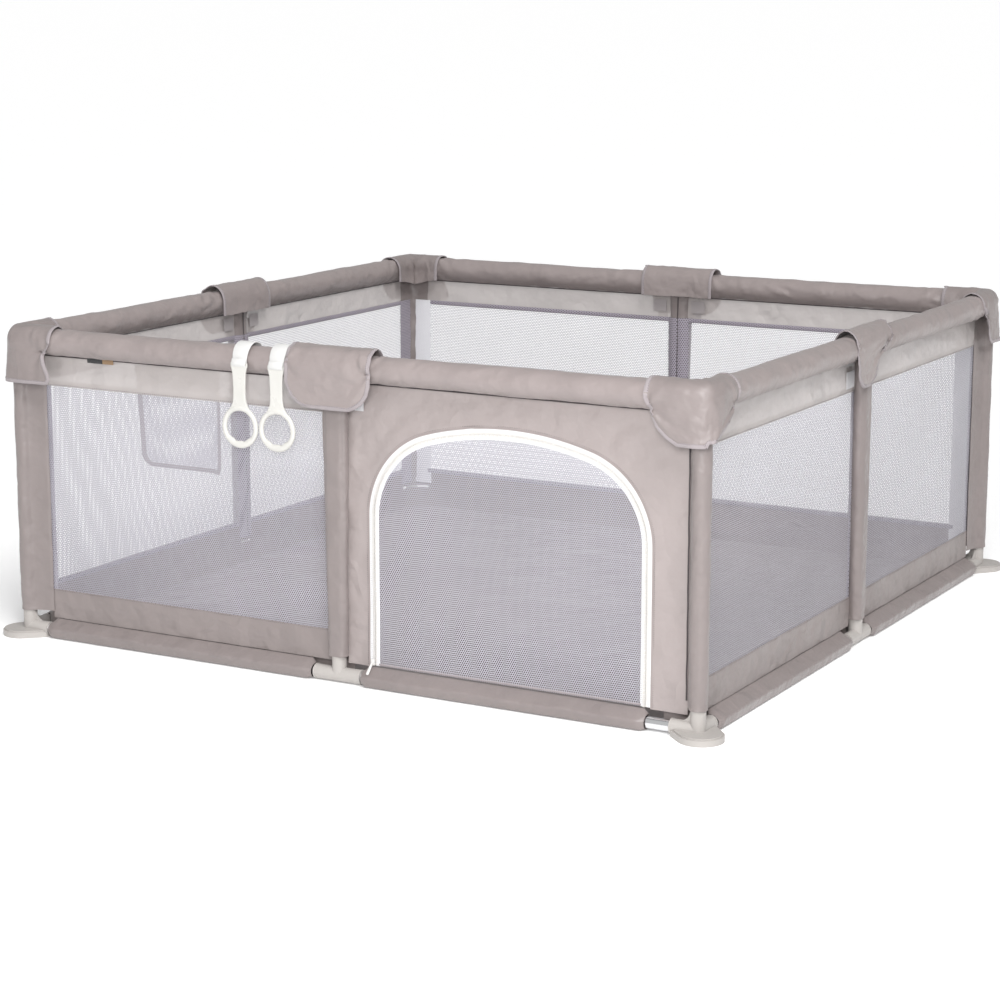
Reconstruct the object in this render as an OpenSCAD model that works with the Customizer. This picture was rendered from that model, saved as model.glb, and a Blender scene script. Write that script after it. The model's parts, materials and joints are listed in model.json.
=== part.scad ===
// Square tube-frame playpen with net walls, a zip door and two pull rings.
// The frame stands on the floor plane z = 0, centred on the origin, with the door in the -Y side.

/* [Frame] */
// Spacing of the corner posts along X
pen_w = 1500; // [1200:10:1900]
// Spacing of the corner posts along Y
pen_d = 1500; // [1200:10:1900]
// Height of the top rails' axis
rail_z = 606; // [560:1:720]
// Outer diameter of the steel tubes
tube_d = 22; // [19:0.5:25]
// Wall of the steel tubes
tube_wall = 0.6; // [0.5:0.1:1.5]

/* [Connectors] */
// Wall of a plastic socket round its tube
socket_wall = 2.85; // [2.2:0.05:3]
// Length of a socket, from the joint's centre to its mouth
socket_reach = 52; // [44:1:64]
// Distance from the joint's centre to the end of the tube inside
tube_seat = 18; // [17:1:24]
// How far the bead at a socket's mouth stands proud
mouth_bead = 0.6; // [0.4:0.1:0.8]
// Gap between the bottom sockets and the floor
ground_gap = 1; // [1:0.5:4]
// Thickness of the foot plate
foot_plate = 14; // [10:1:16]
// Radius of the foot plate's round nose
foot_nose = 42; // [38:1:46]
// Diameter of a suction cup
cup_d = 47; // [38:1:48]

/* [Padding and rail covers] */
// Outer diameter of the foam pad
pad_d = 50; // [44:1:54]
// Thickness of the rail cover's cloth
cover_t = 1.3; // [1:0.1:2]
// Gap between the end of a pad and the mouth of the socket
pad_gap = 2; // [1:0.5:10]

/* [Walls] */
// Distance from the post axis inwards to the wall's middle plane
wall_inset = 8; // [7:0.5:10]
// Thickness of the cloth borders
cloth_t = 2.4; // [1.6:0.1:3]
// Thickness of the net
net_t = 1.6; // [1:0.1:2.4]
// Height of the wall's lower edge
skirt_z = 37; // [35:1:44]
// Height of the cloth skirt
skirt_h = 60; // [40:1:80]
// Height of the cloth band under the rail
band_h = 60; // [40:1:80]
// How far the rail cover's seam hangs below the cover
seam_drop = 2; // [1:0.5:6]

/* [Post sleeves] */
// Width of a middle post's sleeve
mid_sleeve_w = 62; // [52:1:80]
// Wall of a middle post's sleeve, in front of the socket inside
mid_sleeve_wall = 2.6; // [2:0.1:5]
// Wall of a corner post's sleeve
corner_sleeve_wall = 3.6; // [2:0.1:9]
// Height of a sleeve's lower hem
sleeve_z = 52; // [48:1:56]
// How far a corner sleeve's flange runs on under the rail cover
flange_lap = 6; // [2:1:26]
// Reach of the flange beside the door, at front-right
door_flange = 24; // [22:1:80]

/* [Caps and saddles] */
// Length of a corner cap along each rail
cap_reach = 100; // [85:1:130]
// Length of the slanted cut on a corner cap's outer flap, along the rail
cap_cut = 62; // [40:1:70]
// Drop of the outer flaps below the rail's axis
flap_drop = 80; // [60:1:90]
// Drop of the inner flaps below the rail's axis
inner_drop = 28; // [20:1:36]
// Width of a saddle over a middle post
saddle_w = 184; // [150:1:188]
// Radius of the saddle's lower corners
saddle_corner = 48; // [20:1:60]
// Gap between a rail cover and the saddle over it
saddle_gap = 7.4; // [5:0.1:10]

/* [Door] */
// Distance from the front middle post to the door's left edge
door_x = 66; // [60:1:80]
// Width of the door, over the zip
door_w = 586; // [400:1:590]
// Drop from the rail cover's seam to the top of the door
door_drop = 61.4; // [47:0.1:158]
// Radius of the door's shoulders
door_shoulder = 170; // [120:1:180]
// Radius of the door's crown
door_crown = 600; // [500:10:900]
// Width of one zip tape
tape_w = 9.5; // [7:0.5:11]
// Gap between the two tapes, where the coil closes
coil_gap = 1; // [0.8:0.1:1.6]
// Distance from the front-right post to the end of the bottom sleeve under the door
door_hem_end = 100; // [60:1:140]

/* [Pull rings] */
// Outer diameter of a ring
ring_d = 82; // [70:1:84]
// Inner diameter of a ring
ring_hole = 60; // [50:1:64]
// Thickness of a ring
ring_t = 8; // [6:0.5:10]
// Distance of the left ring from the front middle post
ring_x1 = -196; // [-260:1:-190]
// Distance of the right ring from the front middle post
ring_x2 = -112; // [-114:1:-112]
// Distance from a ring's bar down to the ring's centre
ring_drop = 120; // [110:1:130]

/* [Pocket and label] */
// Distance of the pocket's middle from the front middle post
pocket_x = -374; // [-500:1:-300]
// Width of the pocket
pocket_w = 206; // [150:1:240]
// Height of the pocket
pocket_h = 202; // [150:1:240]
// Depth of the pocket at its mouth
pocket_mouth = 26; // [16:1:34]
// Depth of the pocket at its bottom
pocket_foot = 9; // [7:0.5:14]

/* [Hidden] */
$fn = 64;
fit = 0.15;                                    // tube to socket
clear = 0.3;                                   // between soft parts that lie on each other
tube_r = tube_d / 2;
socket_r = tube_r + fit + socket_wall;
bottom_z = ground_gap + socket_r;              // height of the bottom rails' axis
pad_r = pad_d / 2;
cover_r = pad_r + clear + cover_t;
half_cloth = cloth_t / 2;
pad_from = socket_reach + pad_gap;             // start of a pad, from the joint's centre
seam_z = rail_z - cover_r - seam_drop;         // lower edge of the rail cover's seam
band_z = seam_z - band_h;
net_z = skirt_z + skirt_h;
sleeve_bore = socket_r + 0.4;
mid_sleeve_t = 2 * (sleeve_bore + mid_sleeve_wall);
corner_sleeve_r = sleeve_bore + corner_sleeve_wall;
flange_w = [for (c = [0 : 3]) c == 1 ? door_flange : pad_from + flange_lap];
saddle_r = cover_r + saddle_gap;               // inner radius of a saddle
door_top = seam_z - door_drop;
cap_r = cover_r + 0.6;                         // inner half width of a corner cap
mid_edge = mid_sleeve_w / 2;
edge_gap = 0.5;                                // between a sleeve's edge and the cloth beside it
cap_t = 2.4;
saddle_t = 3;
sides = ["front", "right", "back", "left"];
corners = ["front_left", "front_right", "back_right", "back_left"];

cloth = [0.72, 0.67, 0.65];
net_colour = [0.86, 0.85, 0.89];
plastic = [0.68, 0.66, 0.63];
steel = [0.82, 0.82, 0.83];
foam = [0.30, 0.30, 0.31];
ivory = [0.96, 0.95, 0.90];
zip_white = [0.95, 0.95, 0.93];
rubber = [0.80, 0.80, 0.78];

function side_len(s) = s % 2 == 0 ? pen_w : pen_d;
function side_off(s) = (s % 2 == 0 ? pen_d : pen_w) / 2;
function bay_len(s) = side_len(s) / 2;

// ---- places -------------------------------------------------------------------------------

// On side s, local x runs along the wall, -y points outwards, and the middle post stands at x = 0.
module on_side(s) {
    rotate([0, 0, 90 * s]) translate([0, -side_off(s), 0]) children();
}

// At corner c, the two rails leave along +x and +y.
module at_corner(c) {
    sx = (c == 0 || c == 3) ? -1 : 1;
    sy = c < 2 ? -1 : 1;
    translate([sx * pen_w / 2, sy * pen_d / 2, 0]) rotate([0, 0, 90 * c]) children();
}

// From the middle post (mirrored = -1 or 1), a bay runs along +x to the corner.
module in_bay(direction) {
    if (direction > 0) children();
    else mirror([1, 0, 0]) children();
}

module along_x(x0, x1, z = 0, y = 0) {
    translate([x0, y, z]) rotate([90, 0, 90]) linear_extrude(x1 - x0) children();
}

module rod_x(r, x0, x1, z = 0, y = 0) {
    translate([x0, y, z]) rotate([0, 90, 0]) cylinder(r = r, h = x1 - x0);
}

module rod_y(r, y0, y1, z = 0, x = 0) {
    translate([x, y0, z]) rotate([-90, 0, 0]) cylinder(r = r, h = y1 - y0);
}

module rod_z(r, z0, z1, x = 0, y = 0) {
    translate([x, y, z0]) cylinder(r = r, h = z1 - z0);
}

// ---- frame tubes --------------------------------------------------------------------------

module rail_tubes(s, z) {
    color(steel) on_side(s) for (direction = [-1, 1]) in_bay(direction) difference() {
        rod_x(tube_r, tube_seat, bay_len(s) - tube_seat, z);
        rod_x(tube_r - tube_wall, tube_seat - 1, bay_len(s) - tube_seat + 1, z);
    }
}

module post_tube() {
    z0 = bottom_z + tube_seat;
    z1 = rail_z - tube_seat;
    color(steel) difference() {
        rod_z(tube_r, z0, z1);
        rod_z(tube_r - tube_wall, z0 - 1, z1 + 1);
    }
}

// ---- plastic connectors -------------------------------------------------------------------

stem_reach = socket_reach - 8;                 // length of an upright socket
bead_w = 4;

module socket_x(reach = socket_reach) {
    rod_x(socket_r, 0, reach);
    rod_x(socket_r + mouth_bead, reach - bead_w, reach);
}

// What the tube fills, drilled from the mouth down to its seat.
module tube_hole_x(reach = socket_reach) {
    rod_x(tube_r + fit, tube_seat, reach + 1);
}

foot_shift = 10;                               // plate's centre, outwards from the post on both axes
arm_pad_r = 18;
rim = 3;                                       // chamfer round the plate's top

module foot_outline(grow = 0) {
    hull() {
        translate([-foot_shift, -foot_shift]) circle(r = foot_nose + grow);
        translate([socket_reach - arm_pad_r, -2]) circle(r = arm_pad_r + grow, $fn = 32);
        translate([-2, socket_reach - arm_pad_r]) circle(r = arm_pad_r + grow, $fn = 32);
    }
}

// A thin web that stiffens the angle between the upright socket and a lying one.
module web(reach, rise) {
    rotate([90, 0, 0]) linear_extrude(5, center = true) difference() {
        square([reach, rise]);
        translate([reach, rise]) scale([1, rise / reach]) circle(r = reach - socket_r - 1);
    }
}

cup_t = 2;
web_gap = 5;                                   // from a foot's web up to the sleeve's hem
stud_d = 8;
stud_h = 6;

module foot(c) {
    color(plastic) at_corner(c) difference() {
        union() {
            linear_extrude(foot_plate - rim) foot_outline();
            translate([0, 0, foot_plate - rim]) linear_extrude(rim) foot_outline(-rim);
            rod_z(socket_r, 1, bottom_z + stem_reach);
            for (turn = [0, 90]) translate([0, 0, bottom_z]) mirror([turn, -turn, 0]) {
                socket_x();
                web(socket_reach - 12, sleeve_z - bottom_z - web_gap);
            }
        }
        rod_z(tube_r + fit, bottom_z + tube_seat, bottom_z + stem_reach + 1);
        for (turn = [0, 90]) translate([0, 0, bottom_z]) mirror([turn, -turn, 0]) tube_hole_x();
        translate([-foot_shift, -foot_shift, -1]) cylinder(d = cup_d + 1, h = cup_t + 1);
        translate([-foot_shift, -foot_shift, -1]) cylinder(d = stud_d + 0.3, h = cup_t + stud_h + 1.2);
    }
}

// A soft cup under each foot, hollowed underneath, with a stud that plugs into the plate.
module suction_cups() {
    hollow = 47;
    color(rubber) for (c = [0 : 3]) at_corner(c) translate([-foot_shift, -foot_shift, 0]) difference() {
        union() {
            cylinder(d = cup_d, h = cup_t);
            cylinder(d = stud_d, h = cup_t + stud_h);
        }
        translate([0, 0, cup_t / 2 - hollow]) sphere(r = hollow, $fn = 96);
    }
}

module top_corner(c) {
    color(plastic) at_corner(c) translate([0, 0, rail_z]) difference() {
        union() {
            sphere(r = socket_r);
            rod_z(socket_r, -stem_reach, 0);
            for (turn = [0, 90]) mirror([turn, -turn, 0]) socket_x();
        }
        rod_z(tube_r + fit, -stem_reach - 1, -tube_seat);
        for (turn = [0, 90]) mirror([turn, -turn, 0]) tube_hole_x();
    }
}

// A tee whose stem points up (up = 1) or down (up = -1).
module tee(s, z, up) {
    color(plastic) on_side(s) translate([0, 0, z]) mirror([0, 0, up > 0 ? 0 : 1]) difference() {
        union() {
            for (direction = [-1, 1]) in_bay(direction) socket_x();
            rod_z(socket_r, 0, stem_reach);
        }
        for (direction = [-1, 1]) in_bay(direction) tube_hole_x();
        rod_z(tube_r + fit, tube_seat, stem_reach + 1);
    }
}

// ---- padding and rail covers --------------------------------------------------------------

module rail_pads() {
    color(foam) for (s = [0 : 3]) on_side(s) for (direction = [-1, 1]) in_bay(direction)
        along_x(pad_from, bay_len(s) - pad_from, rail_z) difference() {
            circle(r = pad_r);
            circle(r = tube_r + clear);
        }
}

// The cover wraps the pad and closes in a seam fin over the wall's plane.
module rail_covers() {
    color(cloth) for (s = [0 : 3]) on_side(s) for (direction = [-1, 1]) in_bay(direction)
        along_x(pad_from, bay_len(s) - pad_from, rail_z) difference() {
            union() {
                circle(r = cover_r);
                translate([wall_inset - half_cloth, seam_z - rail_z])
                    square([cloth_t, rail_z - seam_z]);
            }
            circle(r = pad_r + clear);
        }
}

// ---- walls --------------------------------------------------------------------------------

// Ends of a bay's cloth, measured from the middle post. Corner s is on the left of side s.
function bay_start() = mid_edge + edge_gap;
function bay_end(s, direction) =
    bay_len(s) - flange_w[direction < 0 ? s : (s + 1) % 4] - edge_gap;

module wall_strip(s, direction, z0, z1, t) {
    on_side(s) in_bay(direction)
        translate([bay_start(), wall_inset - t / 2, z0])
            cube([bay_end(s, direction) - bay_start(), t, z1 - z0]);
}

module each_net_bay() {
    for (s = [0 : 3]) for (direction = [-1, 1]) if (s != 0 || direction < 0) {
        $s = s;
        $direction = direction;
        children();
    }
}

module net(s) {
    color(net_colour) for (direction = [-1, 1]) if (s != 0 || direction < 0)
        wall_strip(s, direction, net_z, band_z, net_t);
}

module top_bands() {
    color(cloth) each_net_bay() wall_strip($s, $direction, band_z, seam_z, cloth_t);
}

module bottom_skirts() {
    color(cloth) each_net_bay() wall_strip($s, $direction, skirt_z, net_z, cloth_t);
}

// ---- sleeves ------------------------------------------------------------------------------

sleeve_top = seam_z;

module corner_sleeves() {
    color(cloth) for (c = [0 : 3]) at_corner(c) difference() {
        translate([0, 0, sleeve_z]) linear_extrude(sleeve_top - sleeve_z) union() {
            circle(r = corner_sleeve_r);
            translate([0, wall_inset - 4]) square([flange_w[c], 8]);
            translate([wall_inset - 4, 0]) square([8, flange_w[c]]);
        }
        rod_z(sleeve_bore, sleeve_z - 1, sleeve_top + 1);
    }
}

module mid_sleeves() {
    lobe = mid_sleeve_t / 2;
    color(cloth) for (s = [0 : 3]) on_side(s) difference() {
        translate([0, 0, sleeve_z]) linear_extrude(sleeve_top - sleeve_z) union() {
            for (x = [-1, 1]) translate([x * (mid_edge - lobe), 0]) circle(r = lobe);
            square([mid_sleeve_w - mid_sleeve_t, mid_sleeve_t], center = true);
        }
        rod_z(sleeve_bore, sleeve_z - 1, sleeve_top + 1);
    }
}

// Loose cloth round a bottom tube: it slopes outwards from the wall to a ridge, then drops.
hem_gap = 4;                                   // from a socket's mouth to the hem
ridge = [tube_r + 12, bottom_z + 7];           // outwards and up
under_z = 1;

module bottom_rail_sleeves() {
    start = socket_reach + hem_gap;
    color(cloth) for (s = [0 : 3]) on_side(s) for (direction = [-1, 1]) in_bay(direction)
        along_x(start, bay_len(s) - (s == 0 && direction > 0 ? door_hem_end : start)) difference() {
            polygon([
                [wall_inset - half_cloth, skirt_z],
                [-ridge[0], ridge[1]],
                [-tube_r - 5, under_z],
                [tube_r + 2.5, under_z],
                [wall_inset + half_cloth + 1, skirt_z],
            ]);
            translate([0, bottom_z]) circle(r = tube_r + clear);
        }
}

// ---- caps and saddles ---------------------------------------------------------------------

// Cross-section of cloth folded over a rail: a long flap outside (-x here) and a short one inside.
module fold_section(r, t, outer, inner) {
    difference() {
        union() {
            circle(r = r + t);
            translate([-r - t, -outer]) square([r + t, outer]);
            translate([0, -inner]) square([r + t, inner]);
        }
        circle(r = r);
        translate([-r, -outer - 1]) square([r, outer + 1]);
        translate([-1, -outer - 1]) square([r + 1, outer + 1]);
    }
}

// Both arms of a corner cap as one solid of radius r, from x0 outwards to reach.
module cap_arms(r, reach, outer, inner, x0) {
    for (turn = [0, 90]) mirror([turn, -turn, 0]) translate([0, 0, rail_z]) {
        intersection() {
            rod_x(r, x0, reach);
            translate([x0 - 1, -r - 1, 0]) cube([reach - x0 + 2, 2 * r + 2, r + 1]);
        }
        translate([x0, -r, -outer]) cube([reach - x0, r, outer]);
        translate([x0, 0, -inner]) cube([reach - x0, r, inner]);
    }
}

module corner_caps() {
    low = rail_z - flap_drop;
    color(cloth) for (c = [0 : 3]) at_corner(c) difference() {
        cap_arms(cap_r + cap_t, cap_reach, flap_drop, inner_drop, -cap_r - cap_t);
        cap_arms(cap_r, cap_reach + 1, flap_drop + 1, flap_drop + 1, -cap_r);
        for (turn = [0, 90]) mirror([turn, -turn, 0]) rotate([90, 0, 0])
            linear_extrude(3 * cap_r, center = true) polygon([
                [cap_reach - cap_cut, low - 1],
                [cap_reach - cap_cut, low],
                [cap_reach - 0.4 * cap_cut, low + 0.45 * flap_drop],
                [cap_reach, rail_z - 5],
                [cap_reach + 1, rail_z - 5],
                [cap_reach + 1, low - 1],
            ]);
    }
}

// Outline of a saddle, drawn as x and height: square above, with round lower corners.
module saddle_outline() {
    half = saddle_w / 2;
    low = rail_z - flap_drop;
    top = rail_z + saddle_r + saddle_t + 1;
    shoulder = low + saddle_corner;
    translate([-half, shoulder]) square([saddle_w, top - shoulder]);
    translate([-half + saddle_corner, low]) square([saddle_w - 2 * saddle_corner, saddle_corner + 1]);
    for (side = [-1, 1]) translate([side * (half - saddle_corner), shoulder]) circle(r = saddle_corner);
}

module saddles() {
    half = saddle_w / 2;
    color(cloth) for (s = [0 : 3]) on_side(s) intersection() {
        along_x(-half, half, rail_z) fold_section(saddle_r, saddle_t, flap_drop, inner_drop);
        rotate([90, 0, 0]) linear_extrude(4 * saddle_r, center = true) saddle_outline();
    }
}

// Loop patches on the walls, where the flaps of the saddles fasten.
patch = [22, 0.8, 34];                         // width, thickness and height

module hook_loop_patches() {
    y = wall_inset - half_cloth - patch[1];
    color([0.80, 0.79, 0.80]) each_net_bay() on_side($s) in_bay($direction)
        translate([bay_start() + 8, y, seam_z - patch[2] - 6]) cube(patch);
}

// ---- door ---------------------------------------------------------------------------------

hinge_z = skirt_z + 3;
door_mid = door_x + door_w / 2;

// Outline of the door, shrunk by inset all round but at the bottom: straight legs, two shoulder
// arcs and a crown arc that meets them at a tangent.
module door_outline(inset = 0, foot_z = hinge_z) {
    half = door_w / 2 - inset;
    shoulder = door_shoulder - inset;
    crown = door_crown - inset;
    crown_z = door_top - door_crown;
    spread = door_w / 2 - door_shoulder;
    shoulder_z = crown_z + sqrt(pow(door_crown - door_shoulder, 2) - pow(spread, 2));
    lean = asin(spread / (door_crown - door_shoulder));
    translate([door_mid, 0]) {
        translate([-half, foot_z]) square([2 * half, shoulder_z - foot_z]);
        intersection() {
            translate([0, crown_z]) circle(r = crown, $fn = 360);
            translate([0, shoulder_z]) union() {
                polygon([
                    [-spread, -1],
                    [-spread - shoulder * sin(lean), shoulder * cos(lean)],
                    [-spread - shoulder * sin(lean), crown],
                    [spread + shoulder * sin(lean), crown],
                    [spread + shoulder * sin(lean), shoulder * cos(lean)],
                    [spread, -1],
                ]);
            }
        }
        intersection() {
            for (x = [-1, 1]) translate([x * spread, shoulder_z]) circle(r = shoulder, $fn = 120);
            translate([-half, shoulder_z - 0.5]) square([2 * half, shoulder + 1]);
        }
        translate([-spread, shoulder_z - 1]) square([2 * spread, 2]);
    }
}

// A sheet in the wall's plane of the front side, drawn as x and height.
module front_sheet(t) {
    translate([0, -side_off(0) + wall_inset, 0]) rotate([90, 0, 0])
        linear_extrude(t, center = true) children();
}

module door_surround() {
    right = bay_end(0, 1);
    color(cloth) front_sheet(cloth_t) difference() {
        translate([bay_start(), skirt_z]) square([right - bay_start(), seam_z - skirt_z]);
        door_outline(0, skirt_z - 1);
    }
}

module zip_tape() {
    color(zip_white) front_sheet(net_t) difference() {
        door_outline(0, hinge_z);
        door_outline(tape_w, hinge_z - 1);
    }
}

module door_tape() {
    inset = tape_w + coil_gap;
    color(zip_white) front_sheet(net_t) difference() {
        door_outline(inset, hinge_z);
        door_outline(inset + tape_w, hinge_z - 1);
    }
}

module door_net() {
    color(net_colour) front_sheet(net_t) door_outline(2 * tape_w + coil_gap, hinge_z);
}

// ---- zip slider and its pull --------------------------------------------------------------

slider_w = 8;
slider_h = 12;
slider_z = hinge_z + 0.5;
slider_gap = net_t / 2 + 0.4;                  // from the tape's middle plane to the slider's plates
plate_out = 2;
plate_in = 1.6;
ear_t = 1.2;
slider_x = door_x + tape_w + 0.75 * coil_gap - slider_w / 2;
pull_pin_r = 1.1;
pull_pin = [-7, hinge_z + 5];                  // outwards from the wall's plane, and height
pull_len = 26;
pull_t = 1.8;
pull_w = slider_w - 2 * ear_t - 0.8;

// The pull lies back on the sleeve below: the angle puts its tip just clear of the cloth.
lay_slope = atan((skirt_z - ridge[1]) / (ridge[0] + wall_inset - half_cloth));
lay_height = (pull_pin[1] - skirt_z + (-pull_pin[0] - half_cloth) * tan(lay_slope)) * cos(lay_slope);
pull_angle = lay_slope + asin((lay_height - pull_t / 2 - 0.5) / pull_len);

// The slider straddles the fixed tape and carries the pull on a cross pin.
module zip_slider() {
    color(zip_white) translate([slider_x, -side_off(0) + wall_inset, 0]) {
        translate([-slider_w / 2, -slider_gap - plate_out, slider_z])
            cube([slider_w, plate_out, slider_h]);
        translate([-slider_w / 2, slider_gap, slider_z])
            cube([slider_w, plate_in, slider_h]);
        translate([slider_w / 2 - coil_gap / 2, -slider_gap - 0.1, slider_z])
            cube([coil_gap / 2, 2 * slider_gap + 0.2, slider_h]);
        for (x = [-slider_w / 2, slider_w / 2 - ear_t])
            translate([x, pull_pin[0] - 2, pull_pin[1] - 2])
                cube([ear_t, -pull_pin[0] - slider_gap, 4]);
        rod_x(pull_pin_r, -slider_w / 2, slider_w / 2, pull_pin[1], pull_pin[0]);
    }
}

module zip_pull() {
    tip = -pull_len + pull_w / 2;
    color(zip_white)
        translate([slider_x, -side_off(0) + wall_inset + pull_pin[0], pull_pin[1]])
        rotate([pull_angle, 0, 0]) difference() {
            union() {
                rod_x(2.4, -pull_w / 2, pull_w / 2);
                translate([-pull_w / 2, tip, -pull_t / 2]) cube([pull_w, -tip, pull_t]);
                translate([0, tip, -pull_t / 2]) cylinder(d = pull_w, h = pull_t);
            }
            rod_x(pull_pin_r + 0.2, -pull_w, pull_w);
            translate([0, tip, -pull_t]) cylinder(d = pull_w - 2.4, h = 2 * pull_t);
        }
}

// ---- floor, pocket and label --------------------------------------------------------------

floor_t = 2;

// A square sheet inside the bottom rails, with its corners cut out round the feet.
module floor_sheet() {
    half_w = pen_w / 2 - socket_r - 3;
    half_d = pen_d / 2 - socket_r - 3;
    notch = socket_reach + 2;
    color([0.66, 0.62, 0.62]) difference() {
        translate([-half_w, -half_d, 0]) cube([2 * half_w, 2 * half_d, floor_t]);
        for (c = [0 : 3]) at_corner(c) translate([0, 0, -1]) cube([notch, notch, floor_t + 2]);
    }
}

pocket_t = 1.6;
pocket_top = seam_z - 4;

// A net pocket on the inside of the front wall: it leans out from a shallow foot to a wide mouth.
module pocket() {
    y0 = wall_inset + half_cloth + clear;
    w = pocket_w;
    color(net_colour) on_side(0) translate([pocket_x - w / 2, y0, pocket_top - pocket_h])
        difference() {
            along_x(0, w) polygon([
                [0, 0], [pocket_foot, 0], [pocket_mouth, pocket_h], [0, pocket_h],
            ]);
            along_x(pocket_t, w - pocket_t) polygon([
                [-1, pocket_t],
                [pocket_foot - pocket_t, pocket_t],
                [pocket_mouth - pocket_t, pocket_h],
                [pocket_mouth - pocket_t, pocket_h + 1],
                [-1, pocket_h + 1],
            ]);
        }
}

label = [64, 0.8, 11];                         // width, thickness and height
label_from_corner = 164;

module side_label() {
    color([0.15, 0.15, 0.16]) on_side(0) translate([
        -pen_w / 2 + label_from_corner,
        wall_inset - half_cloth - label[1],
        seam_z - label[2] + 1.5,
    ]) cube(label);
}

// ---- pull rings ---------------------------------------------------------------------------

strap_w = 30;
strap_t = 1.8;
bar_r = 1.7;
bar_fit = 0.25;                                // between a ring's bar and the strap's eye
bar_y = -cover_r - clear - strap_t - 2.6;      // axis of the ring's bar, from the rail's axis
bar_z = rail_z - 6;
neck_t = 3.4;
neck_w = 26;

// Webbing folded over the rail cover, with a sewn eye that holds the ring's bar.
module ring_strap(x) {
    r = cover_r + clear;
    eye = bar_r + bar_fit;
    color([0.97, 0.97, 0.96]) on_side(0) along_x(x - strap_w / 2, x + strap_w / 2, rail_z)
        difference() {
            union() {
                difference() {
                    circle(r = r + strap_t);
                    translate([-2 * r, -10 - 2 * r]) square([2 * r, 2 * r]);
                    translate([0, -22 - 2 * r]) square([2 * r, 2 * r]);
                }
                translate([bar_y, bar_z - rail_z]) circle(r = eye + strap_t, $fn = 32);
                translate([bar_y - eye - strap_t, bar_z - rail_z]) square([12, 10]);
            }
            circle(r = r);
            translate([bar_y, bar_z - rail_z]) circle(r = eye, $fn = 32);
        }
}

// The ring, its flat neck and the slotted head that the strap goes through.
module pull_ring(x) {
    outer = ring_d / 2;
    inner = ring_hole / 2;
    arm = 3;
    head = strap_w / 2 + 1 + arm;
    neck = neck_w / 2;
    slot = ring_drop - 8;                          // lower edge of the head's slot
    bump_r = 3;
    color(ivory) on_side(0) translate([x, bar_y, bar_z - ring_drop]) difference() {
        union() {
            rotate([90, 0, 0]) rotate_extrude() {
                for (r = [inner + ring_t / 2, outer - ring_t / 2]) translate([r, 0]) circle(d = ring_t);
                translate([(outer + inner) / 2, 0]) square([outer - inner - ring_t, ring_t], center = true);
            }
            rotate([90, 0, 0]) linear_extrude(neck_t, center = true) polygon([
                [-neck - 8, outer - 12], [-neck, outer + 12], [-neck, slot - 22], [-head, slot],
                [head, slot], [neck, slot - 22], [neck, outer + 12], [neck + 8, outer - 12],
            ]);
            for (side = [-1, 1])
                translate([side * (head - arm / 2), 0, (slot + ring_drop + bar_r) / 2 - 0.5])
                    cube([arm, neck_t, ring_drop + bar_r - slot + 1], center = true);
            rod_x(bar_r, -head, head, ring_drop);
            for (turn = [-40 : 20 : 40]) rotate([0, turn, 0])
                rod_y(bump_r, -ring_t / 2 + 2, ring_t / 2 - 2, -inner - bump_r + 2);
        }
        translate([-outer, -ring_t, 0]) intersection() {
            cube([ring_d, 2 * ring_t, outer]);
            translate([outer, 0, 0]) rod_y(inner, 0, 2 * ring_t);
        }
    }
}

// ---- every node by its name ---------------------------------------------------------------

for (i = [0 : 3]) {
    at_corner(i) post_tube();
    on_side(i) post_tube();
    rail_tubes(i, rail_z);
    rail_tubes(i, bottom_z);
    top_corner(i);
    tee(i, rail_z, -1);
    foot(i);
    tee(i, bottom_z, 1);
    net(i);
}
suction_cups();
rail_pads();
rail_covers();
top_bands();
bottom_skirts();
corner_sleeves();
mid_sleeves();
bottom_rail_sleeves();
corner_caps();
saddles();
hook_loop_patches();
door_surround();
zip_tape();
door_net();
door_tape();
zip_slider();
zip_pull();
floor_sheet();
pocket();
side_label();
ring_strap(ring_x1);  // ring_strap_left
ring_strap(ring_x2);  // ring_strap_right
pull_ring(ring_x1);  // pull_ring_left
pull_ring(ring_x2);  // pull_ring_right
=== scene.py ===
"""A square playpen: steel tubes in moulded connectors carry padded rails, net walls, a zipped door
and two pull rings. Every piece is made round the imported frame, in metres, with +Z up and the door
in the side that faces -Y."""

import json
import math

import bmesh
import bpy
import numpy as np
from mathutils import Matrix, Vector, noise


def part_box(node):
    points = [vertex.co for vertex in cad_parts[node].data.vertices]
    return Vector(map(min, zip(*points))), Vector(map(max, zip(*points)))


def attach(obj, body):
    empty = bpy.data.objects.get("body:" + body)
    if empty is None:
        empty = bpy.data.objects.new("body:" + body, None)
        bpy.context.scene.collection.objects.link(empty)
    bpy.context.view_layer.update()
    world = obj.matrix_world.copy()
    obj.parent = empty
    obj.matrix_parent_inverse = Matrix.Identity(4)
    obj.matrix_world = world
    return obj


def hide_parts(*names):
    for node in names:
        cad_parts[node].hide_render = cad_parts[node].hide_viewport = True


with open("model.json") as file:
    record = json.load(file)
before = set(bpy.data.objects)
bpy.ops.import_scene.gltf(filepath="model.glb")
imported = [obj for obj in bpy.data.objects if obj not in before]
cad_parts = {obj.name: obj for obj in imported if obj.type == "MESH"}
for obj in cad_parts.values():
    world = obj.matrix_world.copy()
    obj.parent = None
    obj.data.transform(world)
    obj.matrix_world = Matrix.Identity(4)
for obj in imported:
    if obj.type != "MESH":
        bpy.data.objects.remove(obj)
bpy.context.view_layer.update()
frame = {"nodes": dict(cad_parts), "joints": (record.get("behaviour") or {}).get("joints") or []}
bpy.ops.object.select_all(action="DESELECT")

MM = 0.001
SIDES = ("front", "right", "back", "left")
CORNERS = ("front_left", "front_right", "back_right", "back_left")
UP = Vector((0, 0, 1))
FRONT = Vector((0, -1, 0))


def low(node):
    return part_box(node)[0]


def high(node):
    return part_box(node)[1]


# ---- sizes read from the frame ----------------------------------------------------------------

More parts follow.
